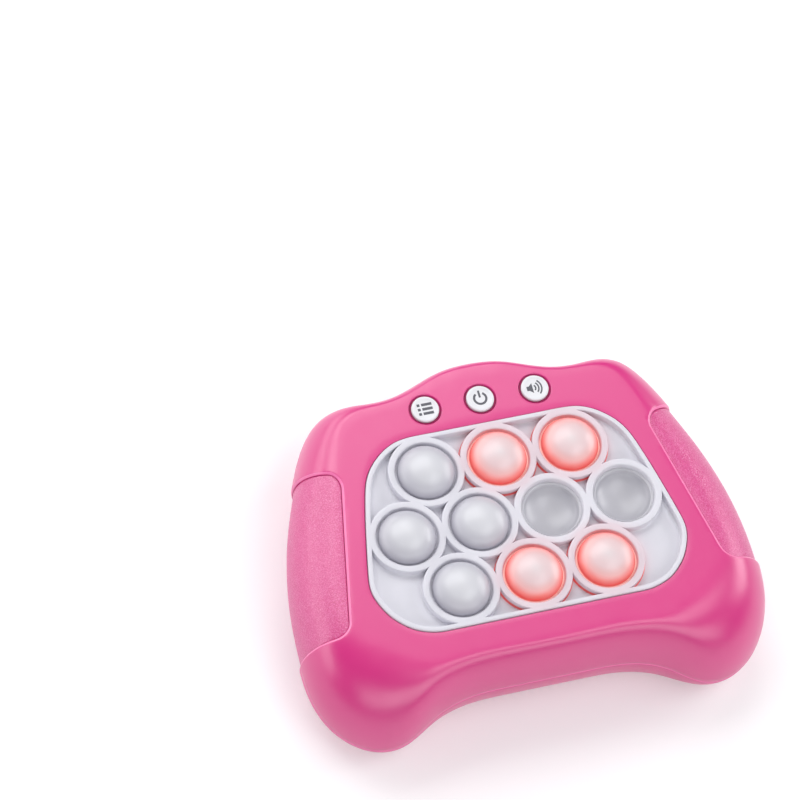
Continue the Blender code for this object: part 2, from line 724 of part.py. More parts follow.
def grips(form, look):
    """The two textured grips that wrap round the sides and cover the parting line there."""
    inner = GRIP_RECESS + GRIP_THICKNESS
    right = side_slab("right_grip", form, GRIP_RECESS, inner, grip_border(-GAP))
    left = other_side(right, "left_grip")
    finish(right, look)
    finish(left, look)


def bubble_mat(form, look):
    """The soft sheet with its raised rim and ten rings, and the flange that is clamped under the shell."""
    flange = prism("bubble_mat", form.panel_outline(FLANGE_LAP), SHEET_BOTTOM, FLANGE_TOP)
    block = prism("block", form.panel_outline(-GAP), SHEET_BOTTOM + GAP, RIM_TOP)
    mat = join(flange, block)
    floor = prism("floor", form.panel_outline(-GAP - RIM_WIDTH), FLOOR_LEVEL, RIM_TOP + OVERRUN)
    for x, y in bubble_centres():
        disc = circle(RING_RADIUS, RING_SEGMENTS, x, y)
        cut(floor, prism("ring", disc, FLOOR_LEVEL - OVERRUN, RIM_TOP + 2 * OVERRUN))
    cut(mat, floor)
    for x, y in bubble_centres():
        well = circle(WELL_RADIUS, RING_SEGMENTS, x, y)
        cut(mat, prism("well", well, SHEET_BOTTOM - OVERRUN, RIM_TOP + OVERRUN))
    finish(mat, look)


def dome_profile(height, radius, steps):
    """Points of a flattened dome, from its top to its foot."""
    turns = [math.pi / 2 * k / steps for k in range(steps + 1)]
    return [(radius * math.sin(turn), height * math.cos(turn)) for turn in turns]


def bubble_mesh(name, popped_out):
    """A thin dome with the post under it that reaches the board. Its origin is the middle of its foot."""
    outer = dome_profile(DOME_HEIGHT, DOME_RADIUS, 3)
    inner = dome_profile(DOME_HEIGHT - DOME_WALL, DOME_RADIUS - DOME_WALL, 2)
    inner = [(radius, level) for radius, level in reversed(inner) if radius > POST_RADIUS]
    if popped_out:
        root = DOME_HEIGHT - DOME_WALL
        post = [(POST_RADIUS, root), (POST_RADIUS, root - POST_LENGTH), (0, root - POST_LENGTH)]
        profile = outer + inner + post
    else:
        end = -DOME_HEIGHT - POST_LENGTH
        under = [(radius, -level) for radius, level in outer if radius > POST_RADIUS]
        over = [(0, DOME_WALL - DOME_HEIGHT)] + [(radius, -level) for radius, level in reversed(inner)]
        profile = over + list(reversed(under)) + [(POST_RADIUS, -DOME_HEIGHT), (POST_RADIUS, end), (0, end)]
    return turned(name, profile, DOME_SEGMENTS)


def bubbles(look_plain, look_lit):
    """The ten bubbles. Each pops through its ring by itself, so each is a piece of its own."""
    for popped_out in (True, False):
        pattern = bubble_mesh("pattern", popped_out)
        for number, (x, y) in enumerate(bubble_centres(), start=1):
            if (number in PRESSED_BUBBLES) == popped_out:
                continue
            bubble = add_object("bubble_%d" % number, pattern.data.copy())
            finish(bubble, look_lit if number in LIT_BUBBLES else look_plain)
            bubble.location = (x, y, DOME_BASE)
        bpy.data.objects.remove(pattern)


def buttons(look):
    """Three push buttons. A flange under the shell keeps each one in its hole."""
    underside = BODY_DEPTH - WALL - GAP
    flange_low = underside - BUTTON_FLANGE_THICKNESS
    stem_low = BOARD_TOP + GAP + SWITCH_HEIGHT + PLUNGER_HEIGHT + GAP + BUTTON_TRAVEL
    top = BODY_DEPTH + BUTTON_RISE
    flange = BUTTON_RADIUS + BUTTON_PLAY + BUTTON_FLANGE
    profile = ((0, top), (BUTTON_RADIUS - BUTTON_EDGE, top), (BUTTON_RADIUS, top - BUTTON_EDGE),
               (BUTTON_RADIUS, underside), (flange, underside), (flange, flange_low),
               (BUTTON_STEM_RADIUS, flange_low), (BUTTON_STEM_RADIUS, stem_low), (0, stem_low))
    for name, (x, y) in zip(("menu_button", "power_button", "volume_button"), button_centres()):
        finish(turned(name, profile, RING_SEGMENTS, x, y), look, (x, y, BODY_DEPTH))


def switches(look):
    """A push switch on the board under each button."""
    low = BOARD_TOP + GAP
    for name, (x, y) in zip(("menu_switch", "power_switch", "volume_switch"), button_centres()):
        half = SWITCH_WIDTH / 2
        body = box(name, (x - half, y - half, low), (x + half, y + half, low + SWITCH_HEIGHT))
        plunger = circle(PLUNGER_RADIUS, BORE_SEGMENTS, x, y)
        join(body, prism("plunger", plunger, low + SWITCH_HEIGHT / 2, low + SWITCH_HEIGHT + PLUNGER_HEIGHT))
        finish(body, look)


def mat_frame(form, look):
    """The plate that clamps the mat under the shell, with a light sleeve down to the board per bubble."""
    plate = prism("mat_frame", form.panel_outline(FLANGE_LAP), FRAME_BOTTOM, FRAME_TOP)
    for x, y in board_screws():
        ear = ear_outline(BOARD_BOSS_RADIUS + GAP + EAR_WALL, x, y)
        join(plate, prism("ear", ear, FRAME_BOTTOM, FRAME_TOP))
    for x, y in bubble_centres():
        sleeve = circle(SLEEVE_RADIUS + SLEEVE_WALL, SLEEVE_SEGMENTS, x, y)
        join(plate, prism("sleeve", sleeve, BOARD_TOP + GAP, FRAME_BOTTOM + FRAME_THICKNESS / 2))
    for x, y in bubble_centres():
        light = circle(SLEEVE_RADIUS, SLEEVE_SEGMENTS, x, y)
        cut(plate, prism("light", light, BOARD_BOTTOM, FRAME_TOP + OVERRUN))
    for x, y in board_screws():
        hole = circle(BOARD_BOSS_RADIUS + GAP, POST_SEGMENTS, x, y)
        cut(plate, prism("hole", hole, BOARD_BOTTOM, FRAME_TOP + OVERRUN))
    finish(plate, look)


def ear_outline(radius, x, y):
    """An ear round a screw boss: a round end, and a tongue towards the middle of the pad."""
    side = math.copysign(1, y)
    turns = np.linspace(0, math.pi, POST_SEGMENTS // 2 + 1)
    arc = [(x + radius * math.cos(turn), y + side * radius * math.sin(turn)) for turn in turns]
    return arc + [(x - radius, y - side * EAR_TONGUE), (x + radius, y - side * EAR_TONGUE)]


def circuit_board(look):
    """The board, with a contact pad under each bubble and a hole for each of its screws."""
    right = [(x * PANEL_WIDTH / 2, y * PANEL_LENGTH / 2) for x, y in BOARD_CORNER_shares]
    left = [(-x, y) for x, y in reversed(right)]
    board = prism("circuit_board", right + left, BOARD_BOTTOM, BOARD_TOP)
    for x, y in bubble_centres():
        join(board, prism("pad", circle(PAD_RADIUS, BORE_SEGMENTS, x, y), BOARD_TOP - PAD_HEIGHT, PAD_TOP))
    for x, y in board_screws():
        hole = circle(SHANK_RADIUS + SHANK_PLAY, BORE_SEGMENTS, x, y)
        cut(board, prism("hole", hole, BOARD_BOTTOM - OVERRUN, BOARD_TOP + OVERRUN))
    finish(board, look)


def lights(look):
    """A light on the board beside each contact pad: a flat body with a raised lens."""
    low = BOARD_TOP + GAP
    for number, (x, y) in enumerate(bubble_centres(), start=1):
        half_length = LED_LENGTH / 2
        half_width = LED_WIDTH / 2
        middle = y - LED_OFFSET
        rings = []
        for inset, level in ((0, low), (0, low + LED_HEIGHT), (LENS_MARGIN, low + LED_HEIGHT),
                             (2 * LENS_MARGIN, low + LED_HEIGHT + LENS_HEIGHT)):
            reach = half_length - inset
            width = half_width - inset
            rings.append([(x - reach, middle - width, level), (x + reach, middle - width, level),
                          (x + reach, middle + width, level), (x - reach, middle + width, level)])
        finish(loft("led_%d" % number, rings), look)


def controller_chip(look):
    """The chip under the board that runs the game and its sounds."""
    top = BOARD_BOTTOM - GAP
    half_length = CHIP_LENGTH / 2
    half_width = CHIP_WIDTH / 2
    chip = box("controller_chip", (-half_length, CHIP_OFFSET - half_width, top - CHIP_HEIGHT),
               (half_length, CHIP_OFFSET + half_width, top))
    finish(chip, look)


def screw(name, x, y, head_radius, head_height, seat, length, look):
    """A cross-head screw driven upwards. Its head lies under the seat level."""
    low = seat - head_height
    profile = ((0, seat + length), (SHANK_RADIUS, seat + length), (SHANK_RADIUS, seat),
               (head_radius, seat), (head_radius, low), (0, low))
    piece = turned(name, profile, BORE_SEGMENTS, x, y)
    reach = head_radius * SLOT_REACH_share
    half = SLOT_WIDTH / 2
    cross = []
    for quarter in range(4):
        cosine = math.cos(math.pi / 2 * quarter)
        sine = math.sin(math.pi / 2 * quarter)
        for u, v in ((reach, -half), (reach, half), (half, half)):
            cross.append((x + u * cosine - v * sine, y + u * sine + v * cosine))
    cut(piece, prism("cross", cross, low - OVERRUN, low + SLOT_DEPTH))
    finish(piece, look)


def fasteners(look):
    """Four screws that close the housing, four that hold the board, and the one of the battery door."""
    for number, (x, y) in enumerate(housing_screws(), start=1):
        seat = POST_HEIGHT - POST_SHELF - GAP
        screw("housing_screw_%d" % number, x, y, HOUSING_HEAD_RADIUS, HEAD_HEIGHT, seat,
              HOUSING_SCREW_LENGTH, look)
    for number, (x, y) in enumerate(board_screws(), start=1):
        seat = BOARD_BOTTOM - GAP
        screw("board_screw_%d" % number, x, y, BOARD_HEAD_RADIUS, HEAD_HEIGHT, seat,
              BOARD_SCREW_LENGTH, look)
    seat = DOOR_THICKNESS - DOOR_SCREW_SHELF - GAP
    screw("door_screw", 0, DOOR_SCREW_Y, DOOR_HEAD_RADIUS, DOOR_HEAD_HEIGHT, seat,
          DOOR_SCREW_LENGTH, look)


def battery_door(look):
    """The door, flush with the back: two hooks at its hinge edge and a countersunk screw at the other."""
    door = prism("battery_door", door_outline(0), 0, DOOR_THICKNESS)
    for side in (-1, 1):
        x = side * HOOK_SPACING / 2
        half = HOOK_WIDTH / 2
        low = WALL + GAP
        neck = box("neck", (x - half, DOOR_TOP_Y - HOOK_ROOT, DOOR_THICKNESS / 2),
                   (x + half, DOOR_TOP_Y, low + HOOK_HEIGHT))
        hook = box("hook", (x - half, DOOR_TOP_Y - HOOK_ROOT / 2, low),
                   (x + half, DOOR_TOP_Y + HOOK_REACH, low + HOOK_HEIGHT))
        join(door, neck)
        join(door, hook)
    well = DOOR_HEAD_RADIUS + GAP
    well_top = DOOR_THICKNESS - DOOR_SCREW_SHELF
    cut(door, prism("well", circle(well, POST_SEGMENTS, 0, DOOR_SCREW_Y), -OVERRUN, well_top))
    bore = SHANK_RADIUS + GAP
    cut(door, prism("bore", circle(bore, BORE_SEGMENTS, 0, DOOR_SCREW_Y), -OVERRUN, DOOR_THICKNESS + OVERRUN))
    finish(door, look, (0.0, DOOR_TOP_Y, 0.0))


def cells(look):
    """Three cells side by side, each turned the other way round than the one before."""
    for number in range(3):
        side = 1 if number == 1 else -1
        y = BAY_Y + (1 - number) * CELL_SPACING
        start = side * (BAY_LENGTH / 2 - 2 * GAP - STRIP_THICKNESS)
        body = start - side * NUB_LENGTH
        stations = ((start, NUB_RADIUS), (body, NUB_RADIUS), (body, CELL_RADIUS),
                    (body - side * CELL_LENGTH, CELL_RADIUS))
        rings = [[(x, y + u, CELL_LEVEL + v) for u, v in circle(radius, 16)] for x, radius in stations]
        finish(loft("battery_cell_%d" % (number + 1), rings), look)


def strip(name, path, low, high):
    """A metal strip on edge that follows a path in plan."""
    path = np.array(path)
    along = np.gradient(path, axis=0)
    along /= np.linalg.norm(along, axis=1)[:, None]
    side = np.column_stack([-along[:, 1], along[:, 0]]) * STRIP_THICKNESS / 2
    return prism(name, [tuple(p) for p in path + side] + [tuple(p) for p in (path - side)[::-1]], low, high)


def contact_path(side, first, last, bowed):
    """The path of a contact strip along one end of the bay, bowed towards the cells that need a spring."""
    wall = side * (BAY_LENGTH / 2 - GAP - STRIP_THICKNESS / 2)
    bow = SPRING_SPACE - STRIP_THICKNESS
    path = []
    for number in range(first, last + 1):
        y = BAY_Y + (1 - number) * CELL_SPACING
        half = CELL_RADIUS * CONTACT_HALF_share
        if number in bowed:
            for k in range(9):
                reach = bow * (1 - math.cos(2 * math.pi * k / 8)) / 2
                path.append((wall - side * reach, y + half - 2 * half * k / 8))
        else:
            path += [(wall, y + half), (wall, y - half)]
    return path


def contacts(look):
    """The battery contacts: one at each pole and two that link a cell to the next."""
    low = CELL_LEVEL - STRIP_HEIGHT / 2
    high = CELL_LEVEL + STRIP_HEIGHT / 2
    finish(strip("contact_link_left", contact_path(-1, 1, 2, (1,)), low, high), look)
    finish(strip("contact_link_right", contact_path(1, 0, 1, (0,)), low, high), look)
    for name, side, number, bowed in (("contact_positive", -1, 0, ()), ("contact_negative", 1, 2, (2,))):
        piece = strip(name, contact_path(side, number, number, bowed), low, high)
        x, y = terminal_places()[0 if side < 0 else 1]
        inner = x - side * (GAP + STRIP_THICKNESS)
        outer = x - side * GAP
        foot = y + CELL_RADIUS * CONTACT_HALF_share * side
        near, far = sorted((inner, outer))
        tab = box("tab", (near, y - TAB_WIDTH / 2, high - GAP), (far, y + TAB_WIDTH / 2, tab_top()))
        if bowed:
            post = box("post", (near, min(foot, y), low), (far, max(foot, y), high))
            join(piece, post)
        join(piece, tab)
        finish(piece, look)


def tab_top():
    return BAY_TOP + BAY_WALL + TAB_RISE


def speaker(look):
    """The speaker, with its cone towards the sound slots."""
    low = WALL + GAP
    rim = low + SPEAKER_RIM
    basket = rim + SPEAKER_BASKET
    top = basket + MAGNET_HEIGHT
    cone = SPEAKER_RADIUS - CONE_MARGIN
    profile = ((0, top), (MAGNET_RADIUS, top), (MAGNET_RADIUS, basket), (cone, rim), (SPEAKER_RADIUS, rim),
               (SPEAKER_RADIUS, low), (cone, low), (MAGNET_RADIUS / 2, low + CONE_DEPTH), (0, low + CONE_DEPTH))
    finish(turned("speaker", profile, RING_SEGMENTS, 0, SPEAKER_Y), look)


def wire(name, points, look):
    """A thin wire on a smooth curve through its points."""
    points = np.array(points)
    samples = []
    for i in range(len(points) - 1):
        before = points[max(i - 1, 0)]
        after = points[min(i + 2, len(points) - 1)]
        start, end = points[i], points[i + 1]
        for k in range(4):
            t = k / 4
            bend = 2 * before - 5 * start + 4 * end - after
            twist = 3 * start - before - 3 * end + after
            samples.append((2 * start + (end - before) * t + bend * t**2 + twist * t**3) / 2)
    samples.append(points[-1])
    curve = bpy.data.curves.new(name, "CURVE")
    curve.dimensions = "3D"
    curve.bevel_depth = WIRE_RADIUS
    curve.bevel_resolution = 1
    curve.use_fill_caps = True
    run = curve.splines.new("POLY")
    run.points.add(len(samples) - 1)
    for point, place in zip(run.points, samples):
        point.co = (*place, 1.0)
    curve.materials.append(look)
    thing = bpy.data.objects.new(name, curve)
    bpy.context.collection.objects.link(thing)
    thing.parent = bpy.data.objects["bubble_pop_game"]


def wires(look_red, look_black):
    """The battery leads and the speaker leads, each up to the underside of the board."""
    end = BOARD_BOTTOM - GAP
    for name, look, (x, y) in zip(("battery_lead_red", "battery_lead_black"), (look_red, look_black),
                                  terminal_places()):
        side = math.copysign(1, x)
        start = x - side * (GAP + STRIP_THICKNESS / 2)
        foot = tab_top() + GAP
        middle = (foot + end) / 2
        wire(name, ((start, y, foot), (start - side * WIRE_BOW, y, middle),
                    (start - side * WIRE_SHIFT, y, end)), look)
    foot = WALL + GAP + SPEAKER_RIM + GAP
    for name, look, side in (("speaker_lead_red", look_red, -1), ("speaker_lead_black", look_black, 1)):
        x = side * WIRE_SPREAD
        y = SPEAKER_Y - SPEAKER_RADIUS + CONE_MARGIN / 2
        middle = (foot + end) / 2
        last = (x + side * WIRE_SHIFT, y - WIRE_BOW, end)
        wire(name, ((x, y, foot), (x + side * WIRE_BOW, y, middle), last), look)


def build():
    for thing in list(bpy.data.objects):
        bpy.data.objects.remove(thing)
    root = bpy.data.objects.new("bubble_pop_game", None)
    bpy.context.collection.objects.link(root)
    pink = material("pink_plastic", (0.80, 0.17, 0.38), 0.35)
    grip_pink = material("grip_plastic", (0.80, 0.20, 0.42), 0.55)
    pearl = material("pearl_silicone", (0.66, 0.65, 0.70), 0.40)
    silver = material("bubble_silicone", (0.45, 0.44, 0.49), 0.35)
    lit = material("lit_silicone", (0.80, 0.25, 0.22), 0.35)
    white = material("white_plastic", (0.85, 0.85, 0.87), 0.35)
    green = material("board_green", (0.02, 0.18, 0.07), 0.50)
    glow = material("led_white", (0.85, 0.82, 0.70), 0.30)
    black = material("black_plastic", (0.02, 0.02, 0.02), 0.50)
    steel = material("steel", (0.55, 0.55, 0.56), 0.30, 1.0)
    red = material("red_wire", (0.55, 0.02, 0.02), 0.50)
    cell = material("cell_jacket", (0.10, 0.12, 0.14), 0.35, 0.4)
    form = Housing()
    front_shell(form, pink)
    rear_shell(form, pink)
    grips(form, grip_pink)
    bubble_mat(form, pearl)
    bubbles(silver, lit)
    buttons(white)
    mat_frame(form, white)
    circuit_board(green)
    lights(glow)
    switches(black)
    controller_chip(black)
    fasteners(steel)
    battery_door(pink)
    cells(cell)
    contacts(steel)
    speaker(black)
    wires(red, black)


build()
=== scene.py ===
import math

import bmesh
import bpy
import numpy as np
from mathutils import Matrix, Vector
from mathutils.geometry import delaunay_2d_cdt


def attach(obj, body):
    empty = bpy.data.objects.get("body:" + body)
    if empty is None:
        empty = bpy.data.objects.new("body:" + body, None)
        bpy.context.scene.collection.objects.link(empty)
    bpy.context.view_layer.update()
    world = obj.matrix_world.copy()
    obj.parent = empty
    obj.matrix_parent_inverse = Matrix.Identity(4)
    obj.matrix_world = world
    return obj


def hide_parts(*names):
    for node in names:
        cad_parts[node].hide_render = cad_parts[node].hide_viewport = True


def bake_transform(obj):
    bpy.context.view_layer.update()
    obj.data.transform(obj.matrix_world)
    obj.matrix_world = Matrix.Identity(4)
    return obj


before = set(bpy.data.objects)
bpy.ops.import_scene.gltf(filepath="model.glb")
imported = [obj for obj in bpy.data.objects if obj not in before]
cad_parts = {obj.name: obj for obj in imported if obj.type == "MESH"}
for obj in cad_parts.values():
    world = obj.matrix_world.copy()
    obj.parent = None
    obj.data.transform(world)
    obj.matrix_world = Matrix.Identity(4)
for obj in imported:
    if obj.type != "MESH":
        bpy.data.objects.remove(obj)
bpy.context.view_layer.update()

# Lengths are in mm, and add_mesh turns them into metres.
MM = 0.001

# Sizes of the CAD model
HALF_WIDTH = 75.0
HALF_LENGTH = 57.802
PANEL_HALF_WIDTH = 51.2
PANEL_HALF_LENGTH = 33.202
BODY_DEPTH = 36.0
WALL = 3.0
GAP = 0.3
SEAM = 0.06
LIP_STEP = 1.1
LIP_HEIGHT = 1.5
PARTING_HEIGHT = 18.0
PARTING_SINK = 7.6
GRIP_DEPTH = 1.8
SHEET_BOTTOM = 31.6
PITCH = 23.5
DOME_BASE = 35.2
DOME_TOP = 5.2
DOME_BOTTOM = -4.2
DOME_RADIUS = 9.05
DOME_THICKNESS = 0.45
BUTTON_SPACING = 18.0
BUTTON_ROW = 41.402
BUTTON_RADIUS = 4.4
BUTTON_TOP = 36.5
BUTTON_FACE = 36.34
HOLE_RADIUS = 5.1
BAY_Y = -8.5
BAY_LENGTH = 50.3
BAY_WIDTH = 33.3
BAY_TOP = 12.9
BAY_WALL = 1.6
CELL_SPACING = 11.2
LEDGE_WIDTH = 2.2
LEDGE_FOOT = 1.5
LEDGE_LOW = 2.3
LEDGE_HIGH = 3.9
DOOR_HALF = 28.95
DOOR_TOP_Y = 11.95
DOOR_FOOT_Y = -28.95
DOOR_CORNER = 3.0
DOOR_EAR_RADIUS = 4.4
DOOR_SCREW_Y = -31.55
DOOR_BOSS_RADIUS = 2.9
HOOK_X = 15.0
HOOK_WINDOW = 3.3
SPEAKER_Y = 28.4
SPEAKER_BORE = 13.3
SOUND_REACH = 9.5
SOUND_HALF_WIDTH = 0.9
POST_RADIUS = 4.35
WELL_RADIUS = 2.95
SCREW_BORE = 1.55
SCREW_RADIUS = 1.1
SCREW_CORE = 0.85
THREAD_START = 0.6
THREAD_PITCH = 0.55
HOUSING_SCREWS = ((45.773, 35.792), (48.026, -42.2), (-45.773, 35.792), (-48.026, -42.2))
ROWS = (3, 4, 3)
PRESSED = (6, 7)
LIT = (2, 3, 9, 10)
CENTRES = np.array([((column - (count - 1) / 2) * PITCH, (1 - row) * PITCH * math.sqrt(3) / 2)
                    for row, count in enumerate(ROWS) for column in range(count)])
BUTTONS = np.array([(offset * BUTTON_SPACING, BUTTON_ROW) for offset in (-1, 0, 1)])

# The right half of the housing, from the middle of the button edge to the middle of the lower edge: x and
# y of the outline at the parting line as shares of its half width and half length, the share of the
# parting sink, how far the front and rear rounding reach towards the panel opening, and x and y of the
# point of that opening beside it as shares of its own half width and half length.
OUTLINE = np.array((
    (0.000, 1.000, 0.00, 0.21, 0.68, 0.000, 1.000),
    (0.132, 0.980, 0.00, 0.21, 0.68, 0.174, 1.000),
    (0.251, 0.927, 0.00, 0.25, 0.70, 0.339, 1.000),
    (0.354, 0.886, 0.00, 0.28, 0.72, 0.482, 1.000),
    (0.457, 0.880, 0.00, 0.30, 0.70, 0.587, 0.979),
    (0.564, 0.894, 0.00, 0.34, 0.72, 0.670, 0.922),
    (0.658, 0.866, 0.00, 0.40, 0.72, 0.739, 0.841),
    (0.730, 0.780, 0.00, 0.50, 0.72, 0.794, 0.749),
    (0.793, 0.642, 0.00, 0.58, 0.70, 0.835, 0.642),
    (0.849, 0.476, 0.00, 0.64, 0.66, 0.862, 0.529),
    (0.906, 0.285, 0.00, 0.68, 0.60, 0.890, 0.373),
    (0.949, 0.093, 0.00, 0.68, 0.55, 0.924, 0.161),
    (0.978, -0.098, 0.03, 0.66, 0.52, 0.959, -0.080),
    (0.993, -0.293, 0.09, 0.64, 0.52, 0.986, -0.278),
    (0.996, -0.480, 0.24, 0.63, 0.52, 1.000, -0.448),
    (0.984, -0.642, 0.48, 0.64, 0.52, 0.979, -0.596),
    (0.940, -0.793, 0.76, 0.67, 0.54, 0.936, -0.731),
    (0.865, -0.911, 0.94, 0.70, 0.56, 0.881, -0.834),
    (0.768, -0.984, 1.00, 0.71, 0.56, 0.817, -0.915),
    (0.667, -0.996, 0.91, 0.67, 0.56, 0.743, -0.968),
    (0.580, -0.955, 0.67, 0.58, 0.56, 0.665, -0.996),
    (0.495, -0.898, 0.33, 0.50, 0.58, 0.583, -1.000),
    (0.401, -0.858, 0.09, 0.46, 0.60, 0.486, -1.000),
    (0.291, -0.837, 0.00, 0.44, 0.62, 0.367, -1.000),
    (0.150, -0.833, 0.00, 0.42, 0.62, 0.193, -1.000),
    (0.000, -0.833, 0.00, 0.41, 0.62, 0.000, -1.000),
))
HALF_TURN = 25

# The right grip's corners as shares of the half width and half length, and their radii
GRIP_CORNERS = ((0.665, 0.431), (1.128, 0.691), (1.128, -0.447), (0.815, -0.484))
GRIP_CORNER_RADII = (5.5, 0.0, 0.0, 5.0)
# How a pocket's border falls off, and how a grip's edge rolls over, as (growth of the border, depth)
POCKET_STEPS = ((0.82, 0.0), (0.7, 0.03), (0.1, 0.4), (0.02, 0.5), (0.0, 0.66), (-0.03, 2.1))
GRIP_STEPS = ((-0.06, 1.3), (-0.07, 0.95), (-0.12, 0.86), (-0.22, 0.81), (-0.4, 0.8))
# Rough lengths of a step in u and in q, where the surface is divided into triangles
UQ_STEP = np.array((9.4, 22.0))
# q where the rows of the rear surface end, and the number of points in each row of the surface
REAR_END = 3.8
ROW_POINTS = 241
# Steps between the points of a pocket's border and a grip's edge, and the clear strip beside a border
POCKET_SPACING = 0.75
GRIP_SPACING = 0.6
BORDER_CLEARANCE = 0.95
# Points round a ring of the mat
RING_POINTS = 120

# Height of the sheet over the distance from a bubble's centre
RING_PROFILE = (
    (9.40, 31.6), (9.42, 34.5), (9.50, 34.8), (9.60, 35.2), (9.70, 35.7), (9.82, 36.1), (9.96, 36.34),
    (10.15, 36.46), (10.4, 36.5), (11.0, 36.5), (11.78, 36.5), (11.88, 36.46), (11.96, 36.36), (12.02, 36.15),
    (12.06, 35.0), (12.075, 34.6), (12.09, 34.25), (12.15, 34.0), (12.26, 33.86), (12.5, 33.8),
)
# and over the distance inwards from the panel opening
RIM_PROFILE = (
    (-2.5, 32.7), (0.15, 32.7), (0.18, 36.0), (0.24, 36.25), (0.36, 36.42), (0.55, 36.5), (1.0, 36.5),
    (1.5, 36.5), (1.62, 36.44), (1.7, 36.3), (1.74, 36.0), (1.78, 34.4), (1.84, 34.02), (1.95, 33.87),
    (2.2, 33.8),
)

# Colours of a bubble, as (place from its top at 0 to its foot at 1, red, green, blue), and a lit one's glow.
# Painted light and shade: plain bubbles darken towards the foot as painted shade, with a lighter band at
# the very foot as a painted highlight; pressed ones are a darker copy, as painted shade in their cups; lit
# ones paint the red light under them, with a pale painted highlight at the foot, and glow with it.
PLAIN_COLOURS = ((0.0, 208, 208, 213), (0.5, 202, 202, 208), (0.8, 186, 185, 194), (0.955, 168, 166, 177),
                 (0.965, 206, 205, 213))
SHADED_PRESSED_COLOURS = ((0.0, 190, 189, 195), (0.6, 184, 183, 190), (0.88, 170, 169, 177), (0.965, 206, 205, 211))
LIT_COLOURS = ((0.0, 218, 204, 206), (0.5, 222, 194, 196), (0.74, 230, 178, 176), (0.88, 234, 122, 116),
               (0.95, 224, 82, 76), (0.962, 250, 214, 206))
GLOW_COLOURS = ((0.0, 40, 26, 28), (0.6, 90, 42, 44), (0.88, 180, 62, 58), (0.95, 190, 60, 56),
                (0.962, 255, 176, 164))

# Camera, as in the photograph: elevation, azimuth and roll in degrees, pixels for a mm, the pixel where the
# middle of the face lies, the image size, and the distance in metres
CAMERA_ANGLES = (62.2, 28.2, 14.4)
PIXELS_PER_MM = 3.2255
FACE_PIXEL = (516.19, 515.33)
IMAGE_SIZE = 800
CAMERA_DISTANCE = 1.5

# The floor's half size, and how far it lies below the pad
FLOOR_HALF = 3000.0
FLOOR_DROP = 0.2
# Lamps: name, place and size in metres, and power in watts
LAMPS = (
    ("key", (-0.96, 0.80, 0.45), (2.9, 0.6), 15.0),
    ("near", (-0.10, 0.58, 0.80), (0.9, 0.5), 5.1),
    ("front", (0.0, -1.13, 0.70), (2.4, 0.7), 11.0),
    ("ridge", (0.38, -0.25, 1.13), (0.8, 0.5), 3.4),
    ("side", (1.16, 0.22, 0.56), (0.9, 0.5), 6.6),
)


def place_camera():
    """Looks down from a corner of the pad, nearly without perspective."""
    elevation, azimuth, roll = (math.radians(angle) for angle in CAMERA_ANGLES)
    scale = PIXELS_PER_MM / MM
    view = Vector((-math.cos(elevation) * math.sin(azimuth), -math.cos(elevation) * math.cos(azimuth),
                   math.sin(elevation)))
    level_up = (Vector((0, 0, 1)) - view * view.z).normalized()
    level_right = level_up.cross(view)
    up = level_up * math.cos(roll) - level_right * math.sin(roll)
    right = up.cross(view)
    over, down = (IMAGE_SIZE / 2 - pixel for pixel in FACE_PIXEL)
    target = Vector((0, 0, BODY_DEPTH * MM)) + right * over / scale - up * down / scale
    camera = bpy.data.cameras.new("camera")
    camera.lens = scale * CAMERA_DISTANCE * camera.sensor_width / IMAGE_SIZE
    camera.clip_end = 20.0
    holder = bpy.data.objects.new("camera", camera)
    turn = Matrix((right, up, view)).transposed().to_4x4()
    holder.matrix_world = Matrix.Translation(target + view * CAMERA_DISTANCE) @ turn
    bpy.context.scene.collection.objects.link(holder)
    bpy.context.scene.camera = holder


# Forms

class Spline:
    """A smooth closed curve through rows of numbers."""

    def __init__(self, rows):
        self.rows = rows
        one = np.eye(len(rows))
        matrix = 4 * one + np.roll(one, 1, axis=1) + np.roll(one, -1, axis=1)
        bends = np.roll(rows, 1, axis=0) - 2 * rows + np.roll(rows, -1, axis=0)
        self.bend = np.linalg.solve(matrix, 6 * bends)

    def __call__(self, place):
        size = len(self.rows)
        place = np.asarray(place, float) % size
        low = np.floor(place).astype(int) % size
        high = (low + 1) % size
        part = (place - np.floor(place))[..., None]
        rest = 1 - part
        straight = self.rows[low] * rest + self.rows[high] * part
        return straight + ((rest**3 - rest) * self.bend[low] + (part**3 - part) * self.bend[high]) / 6


def mirrored(rows):
    """The rows of one half, followed by the same rows of the other half in reverse."""
    return np.array([*rows, *((-row[0], *row[1:]) for row in rows[-2:0:-1])])


def between(start, end, share):
    return start + (end - start) * share


